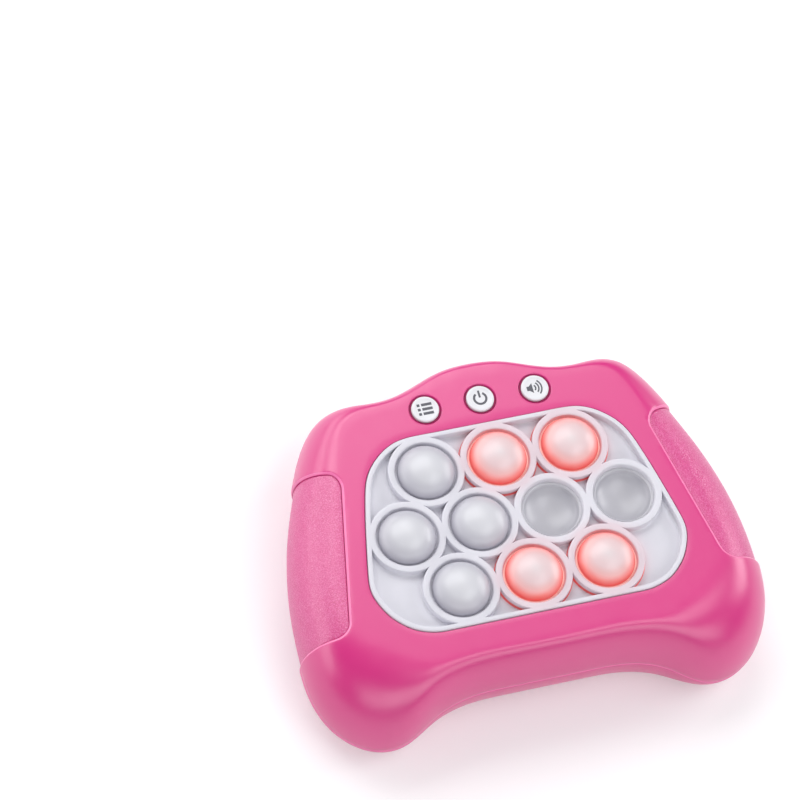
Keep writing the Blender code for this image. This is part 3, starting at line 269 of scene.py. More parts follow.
class Form:
    """The outer form of the housing. u runs round it. q runs from the panel opening at 0 over the
    shoulder at 1 and the parting line at 2 to where the back turns flat at 3 and on to the middle."""

    def __init__(self):
        self.table = Spline(mirrored(OUTLINE[:, :5]))
        self.inner = Spline(mirrored(OUTLINE[:, 5:]))
        dense = self.table(np.linspace(0, 2 * HALF_TURN, 2001))
        low, high = dense[:, 1].min(), dense[:, 1].max()
        self.middle = (high + low) / 2
        self.scale = np.array([HALF_WIDTH / abs(dense[:, 0]).max(), HALF_LENGTH / ((high - low) / 2)])

    def outline(self, u, growth=0.0):
        """The outline at the parting line, grown or, if negative, shrunk."""
        middle = (0, self.middle)
        return self.moved(lambda place: (self.table(place)[..., :2] - middle) * self.scale, u, growth)

    def panel(self, u, growth=0.0):
        """The panel opening, grown or shrunk."""
        return self.moved(lambda place: self.inner(place) * (PANEL_HALF_WIDTH, PANEL_HALF_LENGTH), u, growth)

    def moved(self, curve, u, growth):
        """Points of a closed curve, moved outwards."""
        u = np.asarray(u, float)
        along = curve(u + 0.02) - curve(u - 0.02)
        along /= np.linalg.norm(along, axis=-1)[..., None]
        return curve(u) + np.stack([-along[..., 1], along[..., 0]], axis=-1) * np.asarray(growth)[..., None]

    def parting(self, u, lift):
        """The height of the parting line."""
        return PARTING_HEIGHT - PARTING_SINK * self.table(u)[..., 2] + lift

    def point(self, u, q, depth=0.0, lift=0.0):
        """Points of the surface, at a depth below it. lift raises the parting line."""
        u, q, depth = np.broadcast_arrays(*(np.asarray(value, float) for value in (u, q, depth)))
        rows = self.table(u)
        outline = self.outline(u)
        rim = self.outline(u, -depth)
        panel = self.panel(u)
        shoulder = between(outline, panel, rows[..., 3:4])
        back = between(outline, panel, rows[..., 4:5])
        level = self.parting(u, lift)
        turn = (np.clip(q - 1, 0, 1) * np.pi / 2)[..., None]
        dip = (np.clip(q - 2, 0, 1) * np.pi / 2)[..., None]
        flat = between(panel, shoulder, np.clip(q, 0, 1)[..., None])
        front = between(shoulder, rim, np.sin(turn))
        rear = between(back, rim, np.cos(dip))
        base = between(back, panel, np.clip(q - 3, 0, 1)[..., None])
        which = q[..., None]
        plan = np.where(which <= 1, flat, np.where(which <= 2, front, np.where(which <= 3, rear, base)))
        upper = between(level, BODY_DEPTH - depth, np.cos(turn[..., 0]))
        lower = between(level, depth, np.sin(dip[..., 0]))
        return np.concatenate([plan, np.where(q <= 2, upper, lower)[..., None]], axis=-1)

    def edge(self, u, inset, lift):
        """Points beside the parting line."""
        plan = self.outline(u, -np.asarray(inset))
        return np.concatenate([plan, self.parting(u, lift)[..., None]], axis=-1)

    def locate(self, plan, front):
        """Where points seen from above lie on the right half, as rows of u, q and the share of the way from
        the outline to the panel opening. Outside the outline q is 2 and the share is negative."""
        grid = np.linspace(0, HALF_TURN, 3001)
        outline = self.outline(grid)
        reach = self.panel(grid) - outline
        rounding = self.table(grid)[:, 3 if front else 4]
        found = []
        for point in plan:
            offset = point - outline
            side = reach[:, 0] * offset[:, 1] - reach[:, 1] * offset[:, 0]
            share = (offset * reach).sum(axis=1) / (reach**2).sum(axis=1)
            crossing = np.nonzero((side[:-1] * side[1:] <= 0) & (share[:-1] > -0.6) & (share[:-1] < 1.1))[0]
            if len(crossing) == 0:
                found.append((0.0, 2.0, -1.0))
                continue
            pick = crossing[np.argmin(abs(share[crossing] - 0.5))]
            part = side[pick] / (side[pick] - side[pick + 1] + 1e-12)
            u = between(grid[pick], grid[pick] + (grid[1] - grid[0]), part)
            w = between(share[pick], share[pick + 1], part)
            k = rounding[pick]
            if w <= 0:
                q = 2.0
            elif front:
                q = 1 + math.asin(1 - w / k) / (math.pi / 2) if w <= k else (1 - w) / (1 - k)
            else:
                q = 2 + math.acos(1 - w / k) / (math.pi / 2) if w <= k else 3 + (w - k) / (1 - k)
            found.append((u, q, w))
        return np.array(found)


FORM = Form()


# Meshes

def add_mesh(name, points, faces, smooth=True):
    """A new piece from points in mm. Loose points are dropped, and the faces of a closed mesh point out."""
    mesh = bpy.data.meshes.new(name)
    mesh.from_pydata((np.array(points) * MM).tolist(), [], [tuple(map(int, face)) for face in faces])
    piece = bpy.data.objects.new(name, mesh)
    bpy.context.scene.collection.objects.link(piece)
    tidy_mesh(piece)
    if smooth:
        mesh.shade_smooth()
    return piece


def tidy_mesh(piece, merge=0.0001):
    """Merges points that lie together, and turns the faces out."""
    shape = bmesh.new()
    shape.from_mesh(piece.data)
    bmesh.ops.remove_doubles(shape, verts=shape.verts, dist=merge * MM)
    bmesh.ops.delete(shape, geom=[v for v in shape.verts if not v.link_faces], context="VERTS")
    bmesh.ops.recalc_face_normals(shape, faces=shape.faces)
    shape.to_mesh(piece.data)
    shape.free()


def smooth_by_angle(piece, degrees):
    """Smooth shading, except across edges sharper than an angle."""
    piece.data.shade_smooth()
    piece.data.set_sharp_from_angle(angle=math.radians(degrees))
    return piece


def boolean(target, operation, *tools):
    """Cuts, joins or intersects a piece with tools, which are used up."""
    for tool in tools:
        step = target.modifiers.new(operation.title(), "BOOLEAN")
        step.operation = operation
        step.solver = "MANIFOLD"
        step.object = tool
    graph = bpy.context.evaluated_depsgraph_get()
    result = bpy.data.meshes.new_from_object(target.evaluated_get(graph))
    target.modifiers.clear()
    target.data = result
    for tool in tools:
        bpy.data.objects.remove(tool)


def coordinates(mesh):
    return np.array([v.co for v in mesh.vertices]) / MM


def add_attribute(mesh, name, values):
    """A number for each point of a mesh, which its material can read."""
    mesh.attributes.new(name, "FLOAT", "POINT").data.foreach_set("value", values.astype(np.float32))


def circle(radius, segments, x=0.0, y=0.0):
    turn = 2 * math.pi / segments
    return [(x + radius * math.cos(turn * i), y + radius * math.sin(turn * i)) for i in range(segments)]


def turned(name, profile, segments, centre=(0.0, 0.0), angle=40):
    """A solid turned about a vertical axis. Its profile of (radius, level) points starts and ends on the
    axis, or else is closed to a ring."""
    points = []
    rings = []
    for radius, level in profile:
        ring = [tuple(centre)] if radius == 0 else circle(radius, segments, *centre)
        rings.append(range(len(points), len(points) + len(ring)))
        points += [(x, y, level) for x, y in ring]
    if profile[0][0] > 0:
        rings.append(rings[0])
    faces = []
    for upper, lower in zip(rings, rings[1:]):
        for i in range(segments):
            corners = (upper[i % len(upper)], upper[(i + 1) % len(upper)])
            corners += (lower[(i + 1) % len(lower)], lower[i % len(lower)])
            faces.append(tuple(dict.fromkeys(corners)))
    return smooth_by_angle(add_mesh(name, points, faces), angle)


def prism(outline, levels, name="tool"):
    """An upright solid with a flat outline. levels are (height, growth) pairs from the bottom up."""
    outline = np.array(outline)
    along = np.roll(outline, -1, axis=0) - np.roll(outline, 1, axis=0)
    along /= np.linalg.norm(along, axis=1)[:, None]
    area = (outline[:, 0] * np.roll(outline[:, 1], -1) - np.roll(outline[:, 0], -1) * outline[:, 1]).sum()
    out = np.column_stack([along[:, 1], -along[:, 0]]) * math.copysign(1, area)
    points = []
    for height, growth in levels:
        points += [(x, y, height) for x, y in outline + out * growth]
    count = len(outline)
    faces = [tuple(range(count)), tuple(range(len(points) - count, len(points)))]
    for low in range(0, len(points) - count, count):
        faces += band(low, count)
    return add_mesh(name, points, faces)


def band(low, count):
    """Faces between a ring of points and the next one."""
    high = low + count
    steps = [(i, (i + 1) % count) for i in range(count)]
    return [(low + i, low + j, high + j, high + i) for i, j in steps]


def rod(radius, segments, x, y, low, high):
    """An upright round bar."""
    return prism(circle(radius, segments, x, y), ((low, 0), (high, 0)))


def box(low, high):
    outline = ((low[0], low[1]), (high[0], low[1]), (high[0], high[1]), (low[0], high[1]))
    return prism(outline, ((low[2], 0), (high[2], 0)))


def rounded(corners, radii, steps):
    """The outline of a convex polygon with its corners rounded."""
    outline = []
    for i, corner in enumerate(corners):
        here = Vector(corner)
        before = (Vector(corners[i - 1]) - here).normalized()
        after = (Vector(corners[(i + 1) % len(corners)]) - here).normalized()
        if radii[i] <= 0:
            outline.append(tuple(here))
            continue
        half = before.angle(after) / 2
        centre = here + (before + after).normalized() * radii[i] / math.sin(half)
        start = here + before * radii[i] / math.tan(half) - centre
        end = here + after * radii[i] / math.tan(half) - centre
        for k in range(steps + 1):
            spoke = start.lerp(end, k / steps).normalized() * radii[i]
            outline.append(tuple(centre + spoke))
    return outline


def rounded_box(half, low, high, radius, steps):
    """The outline of a rectangle with rounded corners, as wide to the left as to the right."""
    return rounded(((-half, low), (-half, high), (half, high), (half, low)), [radius] * 4, steps)


def grown(corners, distance):
    """A convex polygon, given clockwise, with each side moved outwards."""
    sides = []
    for corner, following in zip(corners, (*corners[1:], corners[0])):
        along = (Vector(following) - Vector(corner)).normalized()
        sides.append((Vector(corner) + Vector((-along.y, along.x)) * distance, along))
    moved = []
    for i, (point, along) in enumerate(sides):
        other, across = sides[i - 1]
        step = (point - other).cross(along) / across.cross(along)
        moved.append(tuple(other + across * step))
    return moved


def inside(points, polygon):
    """Whether each point lies in a polygon."""
    x, y = points[:, 0], points[:, 1]
    result = np.zeros(len(points), bool)
    for (ax, ay), (bx, by) in zip(polygon, np.roll(polygon, -1, axis=0)):
        if ay != by:
            result ^= ((ay > y) != (by > y)) & (x < (bx - ax) * (y - ay) / (by - ay) + ax)
    return result


def inward(points, polygon):
    """How far inside a polygon each point lies. It is negative outside."""
    best = np.full(len(points), 1e9)
    for a, b in zip(polygon, np.roll(polygon, -1, axis=0)):
        along = b - a
        length = along @ along
        if length > 0:
            share = np.clip((points - a) @ along / length, 0, 1)
            best = np.minimum(best, np.linalg.norm(points - a - share[:, None] * along, axis=1))
    return best * np.where(inside(points, polygon), 1, -1)


def away_from(points, centres):
    """How far each point lies from each centre, seen from above."""
    return np.array([np.linalg.norm(points[:, :2] - centre, axis=1) for centre in centres])


class Patch:
    """Points of a flat pattern, each with a depth, and the edges that its triangles keep to."""

    def __init__(self, points, depths):
        self.points = [tuple(point) for point in points]
        self.depths = list(depths)
        self.edges = []

    def add_line(self, points, depth=0.0, closed=True):
        """Adds a line of points. Its steps are edges."""
        start, count = len(self.points), len(points)
        self.points += [tuple(point) for point in points]
        self.depths += [depth] * count
        self.edges += [(start + i, start + (i + 1) % count) for i in range(count if closed else count - 1)]

    def triangles(self, stretch=1.0):
        """The points, their depths and the triangles, which are made in the stretched pattern."""
        points = np.array(self.points) * stretch
        shift = points.mean(axis=0)
        size = np.abs(points - shift).max()
        flat = [Vector(point) for point in (points - shift) / size]
        made, _, faces, origins, _, _ = delaunay_2d_cdt(flat, self.edges, [], 0, 1e-9, True)
        places = np.array([(point.x, point.y) for point in made]) * size + shift
        first = np.array([origin[0] if origin else -1 for origin in origins])
        return places / stretch, np.array(self.depths)[first], [tuple(face) for face in faces]


def closed_sheet(upper, lower, faces):
    """The points and faces of a solid between two sheets with the same faces."""
    count = len(upper)
    sides = dict.fromkeys((a, b) for face in faces for a, b in zip(face, (*face[1:], face[0])))
    result = list(faces) + [tuple(count + i for i in reversed(face)) for face in faces]
    result += [(b, a, count + a, count + b) for a, b in sides if (b, a) not in sides]
    return np.concatenate([upper, lower]), result


def with_mirror(points, faces):
    """Points and faces, followed by their mirror image on the other side of the pad."""
    count = len(points)
    other = [tuple(count + i for i in reversed(face)) for face in faces]
    return np.concatenate([points, points * (-1, 1, 1)]), list(faces) + other


def grip_border(growth):
    """The border of the right grip seen from above, as a close run of points."""
    corners = [(x * HALF_WIDTH, y * HALF_LENGTH) for x, y in GRIP_CORNERS]
    radii = [radius + growth if radius else 0.0 for radius in GRIP_CORNER_RADII]
    return np.array(rounded(grown(corners, growth), radii, 10))


def resampled(points, step):
    """Points at even steps along an open line."""
    lengths = np.concatenate([[0], np.cumsum(np.linalg.norm(np.diff(points, axis=0), axis=1))])
    places = np.linspace(0, lengths[-1], max(2, int(round(lengths[-1] / step)) + 1))
    return np.column_stack([np.interp(places, lengths, column) for column in points.T])


def border_line(growth, front):
    """The part of the grip's border on the front or the rear of the right half, as (u, q) points. It
    starts and ends on the parting line."""
    loop = grip_border(growth)
    loop = np.roll(loop, -np.argmax(loop[:, 0] - loop[:, 1]), axis=0)
    places = FORM.locate(resampled(np.concatenate([loop, loop[:1]]), 0.2), front)
    within = np.nonzero(places[:, 2] > 0)[0]
    first, last = within[0], within[-1]
    return [cross_parting(places[first - 1], places[first]), *places[first:last + 1, :2],
            cross_parting(places[last + 1], places[last])]


def cross_parting(out, within):
    """Where a step from outside the outline to inside it crosses the parting line."""
    return between(out[0], within[0], out[2] / (out[2] - within[2])), 2.0


def surface_grid(q_rows):
    return np.array([(u, q) for q in q_rows for u in np.linspace(0, HALF_TURN, ROW_POINTS)])


# Housing

def half_shell(front):
    """The right half of a shell: the outer surface with the grip's pocket, the lip and the inner wall. Gives
    its points and faces, u and q of the surface's points, and the last row of the inner wall."""
    if front:
        q_rows = (*np.linspace(0, 1, 6)[:-1], *np.linspace(1, 2, 21))
    else:
        q_rows = (*np.linspace(2, 3, 21), *np.linspace(3, REAR_END, 5)[1:])
    grid = surface_grid(q_rows)
    within = inward(FORM.point(*grid.T)[:, :2], grip_border(0))
    clear = abs(within) >= BORDER_CLEARANCE
    patch = Patch(grid[clear], np.where(within > 0, POCKET_STEPS[-1][1], 0.0)[clear])
    for growth, depth in POCKET_STEPS:
        line = resampled(np.array(border_line(growth, front)) * UQ_STEP, POCKET_SPACING)
        patch.add_line(line / UQ_STEP, depth, closed=False)
    uq, depths, faces = patch.triangles(UQ_STEP)
    side = 1 if front else -1
    lift = side * SEAM / 2
    points = FORM.point(*uq.T, depths, lift)
    seam = row_at(uq, 2)
    u = uq[seam, 0]
    depth = depths[seam]
    # The surface stops short of the parting line, and its edge rolls in
    roll = 0.14 if front else 0.5
    points[seam, 2] = FORM.parting(u, lift) + side * roll
    lip = np.maximum(LIP_STEP if front else LIP_STEP + GAP, depth + 0.12)
    top = LIP_HEIGHT + GAP if front else LIP_HEIGHT
    inner = np.maximum(WALL, depth + 0.5)
    rings = [FORM.edge(u, depth + 0.3 * roll, lift + side * 0.3 * roll), FORM.edge(u, depth + roll, lift),
             FORM.edge(u, lip, lift), FORM.edge(u, lip, top), FORM.edge(u, inner, top)]
    if front:
        rings += [FORM.point(u, q, WALL) for q in (*(1 + a / 90 for a in (75, 60, 45, 30, 15, 0)), 0.5, 0.0)]
        for growth, below in ((0.0, 0.4), (0.015, 0.2), (0.06, 0.09), (0.14, 0.02)):
            rings.append(np.column_stack([FORM.panel(u, growth), np.full(len(u), BODY_DEPTH - below)]))
    else:
        rings += [FORM.point(u, q, WALL) for q in (*(2 + a / 90 for a in (15, 30, 45, 60, 75, 90)), 3.5)]
    rows = [np.arange(len(u)) + len(points) + k * len(u) for k in range(len(rings))]
    for low, high in (*zip(rows, rows[1:]), (seam, rows[0])):
        faces += [(low[i], low[i + 1], high[i + 1], high[i]) for i in range(len(u) - 1)]
    return np.concatenate([points] + rings), faces, uq, rows[-1]


def row_at(uq, q):
    """The points in the row at q, in the order of u."""
    row = np.nonzero(abs(uq[:, 1] - q) < 1e-6)[0]
    return row[np.argsort(uq[row, 0])]


def stitch(one, other, points):
    """Faces between two rows of points that run the same way but have different counts."""
    faces = []
    i = j = 0
    while i < len(one) - 1 or j < len(other) - 1:
        step_one = j == len(other) - 1
        if i < len(one) - 1 and not step_one:
            here = np.linalg.norm(points[one[i + 1]] - points[other[j]])
            step_one = here <= np.linalg.norm(points[one[i]] - points[other[j + 1]])
        if step_one:
            faces.append((one[i], one[i + 1], other[j]))
            i += 1
        else:
            faces.append((one[i], other[j + 1], other[j]))
            j += 1
    return faces


def build_shell(front):
    """The front shell, or the rear shell with all that stands on it and opens in it, as one closed piece."""
    points, faces, uq, last = half_shell(front)
    edge = row_at(uq, 0 if front else REAR_END)
    if front:
        # The face's first row joins the rolled edge of the panel opening
        points[edge, :2] = FORM.panel(uq[edge, 0], 0.25)
        faces += stitch(last, edge, points)
    half = len(points)
    points, faces = with_mirror(points, faces)
    points[abs(points[:, 0]) < 0.001, 0] = 0.0
    if not front:
        # The middle of the back is flat, outside and inside
        faces += [(*row, *(half + row[-2:0:-1])) for row in (edge, last)]
    shell = add_mesh("front_housing" if front else "rear_housing", points, faces)
    tidy_mesh(shell, 0.002)
    if front:
        boolean(shell, "DIFFERENCE", *hole_cutters())
    else:
        add_bay(shell)
        add_speaker_holder(shell)
        add_posts(shell)
    smooth_by_angle(shell, 40)
    if front:
        sharpen_holes(shell.data)
    else:
        sharpen_back(shell.data)
    return shell


def hole_cutters():
    """Cutters for the three button holes, flared at the face."""
    profile = ((0, -2 * WALL), (HOLE_RADIUS, -2 * WALL), (HOLE_RADIUS, -0.45), (HOLE_RADIUS + 0.06, -0.22),
               (HOLE_RADIUS + 0.2, -0.06), (HOLE_RADIUS + 0.5, 0.02), (HOLE_RADIUS + 0.5, 1), (0, 1))
    profile = [(radius, BODY_DEPTH + level) for radius, level in profile]
    return [turned("hole", profile, 72, centre) for centre in BUTTONS]


def sharpen_back(mesh):
    """Keeps a flat back flat up to its edges and openings."""
    level = coordinates(mesh)[:, 2]
    sides = {}
    for face in mesh.polygons:
        flat = face.normal.z < -0.99999 and bool((abs(level[list(face.vertices)]) < 0.005).all())
        for key in face.edge_keys:
            sides.setdefault(key, set()).add(flat)
    for edge in mesh.edges:
        if len(sides.get(edge.key, ())) == 2:
            edge.use_edge_sharp = True


def sharpen_holes(mesh):
    """Keeps the flat face flat up to the flared edges of the button holes."""
    points = coordinates(mesh)
    near = away_from(points, BUTTONS).min(axis=0) < HOLE_RADIUS + 0.5
    rim = near & (abs(points[:, 2] - BODY_DEPTH) < 0.005)
    for edge in mesh.edges:
        if rim[edge.vertices[0]] and rim[edge.vertices[1]]:
            edge.use_edge_sharp = True


# The back: battery bay, door, speaker and screws

def door_outline(growth):
    """The battery door seen from above: a rounded rectangle with a round ear for its screw."""
    foot = DOOR_FOOT_Y - growth
    plate = rounded_box(DOOR_HALF + growth, foot, DOOR_TOP_Y + growth, DOOR_CORNER + growth, 8)
    radius = DOOR_EAR_RADIUS + growth
    start = math.asin((foot - DOOR_SCREW_Y) / radius)
    turns = np.linspace(start, -math.pi - start, 32)
    return plate + [(radius * math.cos(turn), DOOR_SCREW_Y + radius * math.sin(turn)) for turn in turns]


def add_bay(shell):
    """The bay for three cells, the ledge that its door closes against, and the door's screw boss."""
    margin = GAP + LEDGE_WIDTH
    half = DOOR_HALF + margin
    outer = BAY_LENGTH / 2 + BAY_WALL
    across = BAY_WIDTH / 2 + BAY_WALL
    boolean(shell, "UNION",
            box((-half, DOOR_FOOT_Y - margin, LEDGE_FOOT), (half, DOOR_TOP_Y + margin, LEDGE_HIGH)),
            rod(DOOR_EAR_RADIUS + margin, 48, 0, DOOR_SCREW_Y, LEDGE_FOOT, LEDGE_HIGH),
            box((-outer, BAY_Y - across, LEDGE_LOW), (outer, BAY_Y + across, BAY_TOP + BAY_WALL)),
            rod(DOOR_BOSS_RADIUS, 40, 0, DOOR_SCREW_Y, LEDGE_LOW, LEDGE_LOW + 7))
    recess = ((-1, 0.35), (-0.02, 0.35), (0.08, 0.16), (0.25, 0.04), (0.45, 0), (LEDGE_LOW, 0))
    cavity = rounded_box(BAY_LENGTH / 2, BAY_Y - BAY_WIDTH / 2, BAY_Y + BAY_WIDTH / 2, 0.4, 4)
    tools = [prism(door_outline(GAP), recess), prism(cavity, ((-1, 0), (BAY_TOP, 0))),
             rod(SCREW_BORE, 24, 0, DOOR_SCREW_Y, 1, LEDGE_LOW + 5.5)]
    # Windows for the door's hooks
    inner = BAY_Y + BAY_WIDTH / 2 - GAP
    high = LEDGE_HIGH + BAY_WALL
    for x in (-HOOK_X, HOOK_X):
        first, last = x - HOOK_WINDOW, x + HOOK_WINDOW
        tools.append(box((first, inner, 0.75), (last, DOOR_TOP_Y + GAP, high)))
        tools.append(box((first, inner, WALL), (last, DOOR_TOP_Y + 2.1, high)))
    # Slots for the leads
    for x, y in ((-BAY_LENGTH / 2, BAY_Y + CELL_SPACING), (BAY_LENGTH / 2, BAY_Y - CELL_SPACING)):
        low, far = sorted((x, x - math.copysign(1.1, x)))
        tools.append(box((low, y - 1.8, BAY_TOP - GAP), (far, y + 1.8, BAY_TOP + 4)))
    boolean(shell, "DIFFERENCE", *tools)


def slot_outline(offset):
    """A sound slot: a bar with round ends, as long as the round field of slots is wide there."""
    reach = math.sqrt(SOUND_REACH**2 - offset**2) - SOUND_HALF_WIDTH
    end = [(reach + SOUND_HALF_WIDTH * math.cos(t), SOUND_HALF_WIDTH * math.sin(t))
           for t in np.linspace(-1.5708, 1.5708, 9)]
    return [(side * x, SPEAKER_Y + offset + side * y) for side in (1, -1) for x, y in end]


def add_speaker_holder(shell):
    """The ring that holds the speaker, and the sound slots in front of it."""
    outer = SPEAKER_BORE + 1.4
    ring = ((outer, 1.5), (outer, 8), (SPEAKER_BORE, 8), (SPEAKER_BORE, 1.5))
    boolean(shell, "UNION", turned("ring", ring, 96, (0, SPEAKER_Y)))
    levels = ((-1, 0.3), (-0.02, 0.3), (0.1, 0.12), (0.3, 0), (3.3, 0))
    boolean(shell, "DIFFERENCE", *(prism(slot_outline(index * 3.8), levels) for index in range(-2, 3)))


def add_posts(shell):
    """The four screw posts, with the wells that the screws sit in."""
    # Their feet are narrower, so that they stay inside the rounded edge of the back
    post = ((1.9, -1.0), (2.6, -0.8), (3.8, 0), (15.6, 0))
    well = ((-1, 0.35), (-0.02, 0.35), (0.1, 0.14), (0.35, 0), (9.6, 0))
    for x, y in HOUSING_SCREWS:
        boolean(shell, "UNION", prism(circle(POST_RADIUS, 40, x, y), post))
        boolean(shell, "DIFFERENCE", prism(circle(WELL_RADIUS, 48, x, y), well),
                rod(SCREW_BORE, 24, x, y, 6.6, 17.6))


def battery_door():
    """The door: a plate with rolled edges, two hooks, a sunk seat for its screw, and finger ridges."""
    plate = ((0, -0.3), (0.06, -0.12), (0.2, -0.03), (0.4, 0), (1.8, 0), (2.0, -0.15))
    door = prism(door_outline(0), plate, "door_plate")
    for x in (-HOOK_X, HOOK_X):
        boolean(door, "UNION", box((x - 3, DOOR_TOP_Y - 1.4, 1), (x + 3, DOOR_TOP_Y, 4.6)),
                box((x - 3, DOOR_TOP_Y - 0.7, 3.3), (x + 3, DOOR_TOP_Y + 1.8, 4.6)))
    well = ((-1, 0.3), (-0.02, 0.3), (0.1, 0.1), (0.3, 0), (1.3, 0))
    tools = [prism(circle(2.6, 40, 0, DOOR_SCREW_Y), well), rod(1.4, 24, 0, DOOR_SCREW_Y, -1, 4)]
    for index in range(5):
        y = -17.5 - index * 2.1
        groove = rounded_box(9 - index, y - 0.5, y + 0.5, 0.49, 5)
        tools.append(prism(groove, ((-1, 0.1), (0.0, 0.1), (0.35, -0.1))))
    boolean(door, "DIFFERENCE", *tools)
    smooth_by_angle(door, 40)
    sharpen_back(door.data)
    return door


def screw(name, x, y, seat, head_radius, head_height, length, threads):
    """A cross-head screw driven upwards, with its thread."""
    low = seat - head_height
    profile = [(0, low), (head_radius * 0.6, low + 0.02), (head_radius - 0.25, low + 0.14),
               (head_radius, low + 0.45), (head_radius, seat), (SCREW_RADIUS, seat),
               (SCREW_RADIUS, seat + THREAD_START)]
    for turn in range(threads):
        level = seat + THREAD_START + THREAD_PITCH * turn
        profile += [(SCREW_CORE, level + 0.05), (SCREW_CORE, level + 0.3),
                    (SCREW_RADIUS, level + 0.42), (SCREW_RADIUS, level + 0.48)]
    profile += [(SCREW_CORE, level + 0.65), (0, seat + length)]
    piece = turned(name, profile, 40, (x, y))
    half = 0.35
    reach = head_radius * 0.6
    cross = []
    for quarter in range(4):
        turn = math.pi / 2 * quarter + 0.4
        cos, sin = math.cos(turn), math.sin(turn)
        for u, v in ((reach, -half), (reach, half), (half, half)):
            cross.append((x + u * cos - v * sin, y + u * sin + v * cos))
    boolean(piece, "DIFFERENCE", prism(cross, ((low - 1, 0.05), (low + 0.6, -0.08))))
    return smooth_by_angle(piece, 35)


# Grips

def build_grips():
    """Both grips: covers with rolled edges, over the front and the rear."""
    grid = surface_grid((*np.linspace(0, 2, 41), *np.linspace(2, 3.7, 35)[1:]))
    growth, depth = GRIP_STEPS[-1]
    keep = inward(FORM.point(*grid.T)[:, :2], grip_border(growth)) > 0.5
    patch = Patch(grid[keep], [depth] * keep.sum())
    lines = []
    for growth, depth in GRIP_STEPS:
        line = border_line(growth, True)[:-1] + border_line(growth, False)[:0:-1]
        line = np.array(line + line[:1]) * UQ_STEP
        lines.append(resampled(line, GRIP_SPACING)[:-1] / UQ_STEP)
        patch.add_line(lines[-1], depth)
    uq, depths, faces = patch.triangles(UQ_STEP)
    middles = np.array([(uq * UQ_STEP)[list(face)].mean(axis=0) for face in faces])
    faces = [face for face, good in zip(faces, inside(middles, lines[0] * UQ_STEP)) if good]
    points, faces = closed_sheet(FORM.point(*uq.T, depths), FORM.point(*uq.T, GRIP_DEPTH), faces)
    right = add_mesh("grip_cover_right", points, faces)
    left = add_mesh("grip_cover_left", points * (-1, 1, 1), faces)
    return right, left


# Bubble mat

def panel_loop(growth, count):
    return FORM.panel(np.linspace(0, 2 * HALF_TURN, count, endpoint=False), growth)


def mat_heights(points, border):
    """The height of the sheet's upper side at each point."""
    rings = away_from(points, CENTRES)
    heights = np.array([np.interp(ring, *zip(*RING_PROFILE)) for ring in rings])
    within = inward(points, border)
    rim = np.interp(within, *zip(*RIM_PROFILE))
    level = np.maximum(heights.max(axis=0), rim)
    nearest = heights[rings.argmin(axis=0), np.arange(len(points))]
    level = np.where(rings.min(axis=0) < 10, nearest, level)
    return np.where(within < 0.25, rim, level)


def build_mat():
    """The silicone sheet: its rim and ten fused rings in one."""
    border = panel_loop(0, 700)
    outer = panel_loop(2.55, 420)
    grid = np.array([(x, y) for y in np.arange(-36, 36.01, 1.1) for x in np.arange(-54, 54.01, 1.1)])
    grid = grid[inward(grid, outer) > 0.4]
    within = inward(grid, border)
    keep = (within > 2.6) | ((within < -0.3) & (within > -2.2))
    points = grid[keep & (away_from(grid, CENTRES).min(axis=0) > 12.75)]
    patch = Patch(points, [0.0] * len(points))
    patch.add_line(outer)
    for reach, _ in RIM_PROFILE[1:]:
        patch.add_line(panel_loop(-reach, 560))
    for centre in CENTRES:
        for radius, _ in RING_PROFILE:
            patch.add_line(circle(radius, RING_POINTS, *centre))
        patch.add_line(circle(11.25, 100, *centre))
    made, _, faces = patch.triangles()
    middles = np.array([made[list(face)].mean(axis=0) for face in faces])
    hole = RING_PROFILE[0][0] * math.cos(math.pi / RING_POINTS)
    good = (away_from(middles, CENTRES).min(axis=0) > hole) & inside(middles, outer)
    faces = [face for face, fits in zip(faces, good) if fits]
    heights = mat_heights(made, border)
    lower = np.column_stack([made, np.full(len(made), SHEET_BOTTOM)])
    heights[heights < SHEET_BOTTOM + 0.05] = SHEET_BOTTOM + 0.4
    mat = add_mesh("mat_sheet", *closed_sheet(np.column_stack([made, heights]), lower, faces))
    add_glow(smooth_by_angle(mat, 50))
    return mat


def add_glow(mat):
    """Paints the light under the lit bubbles into the sheet: a soft painted glow through the sheet, and a
    strong painted glow in the thin walls of their rings."""
    points = coordinates(mat.data)
    rings = away_from(points, [CENTRES[number - 1] for number in LIT]).min(axis=0)
    foot = np.clip((34.9 - points[:, 2]) / 0.3, 0, 1) * np.clip((points[:, 2] - 33.0) / 0.3, 0, 1)
    outer = np.clip((rings - 12.0) / 0.05, 0, 1) * np.clip((12.45 - rings) / 0.1, 0, 1) * foot
    inner = np.clip((10.0 - rings) / 0.2, 0, 1) * 0.25
    add_attribute(mat.data, "glow", np.exp(-np.maximum(rings - 12, 0) / 1.6))
    add_attribute(mat.data, "stroke", np.maximum(outer, inner))


# Bubbles


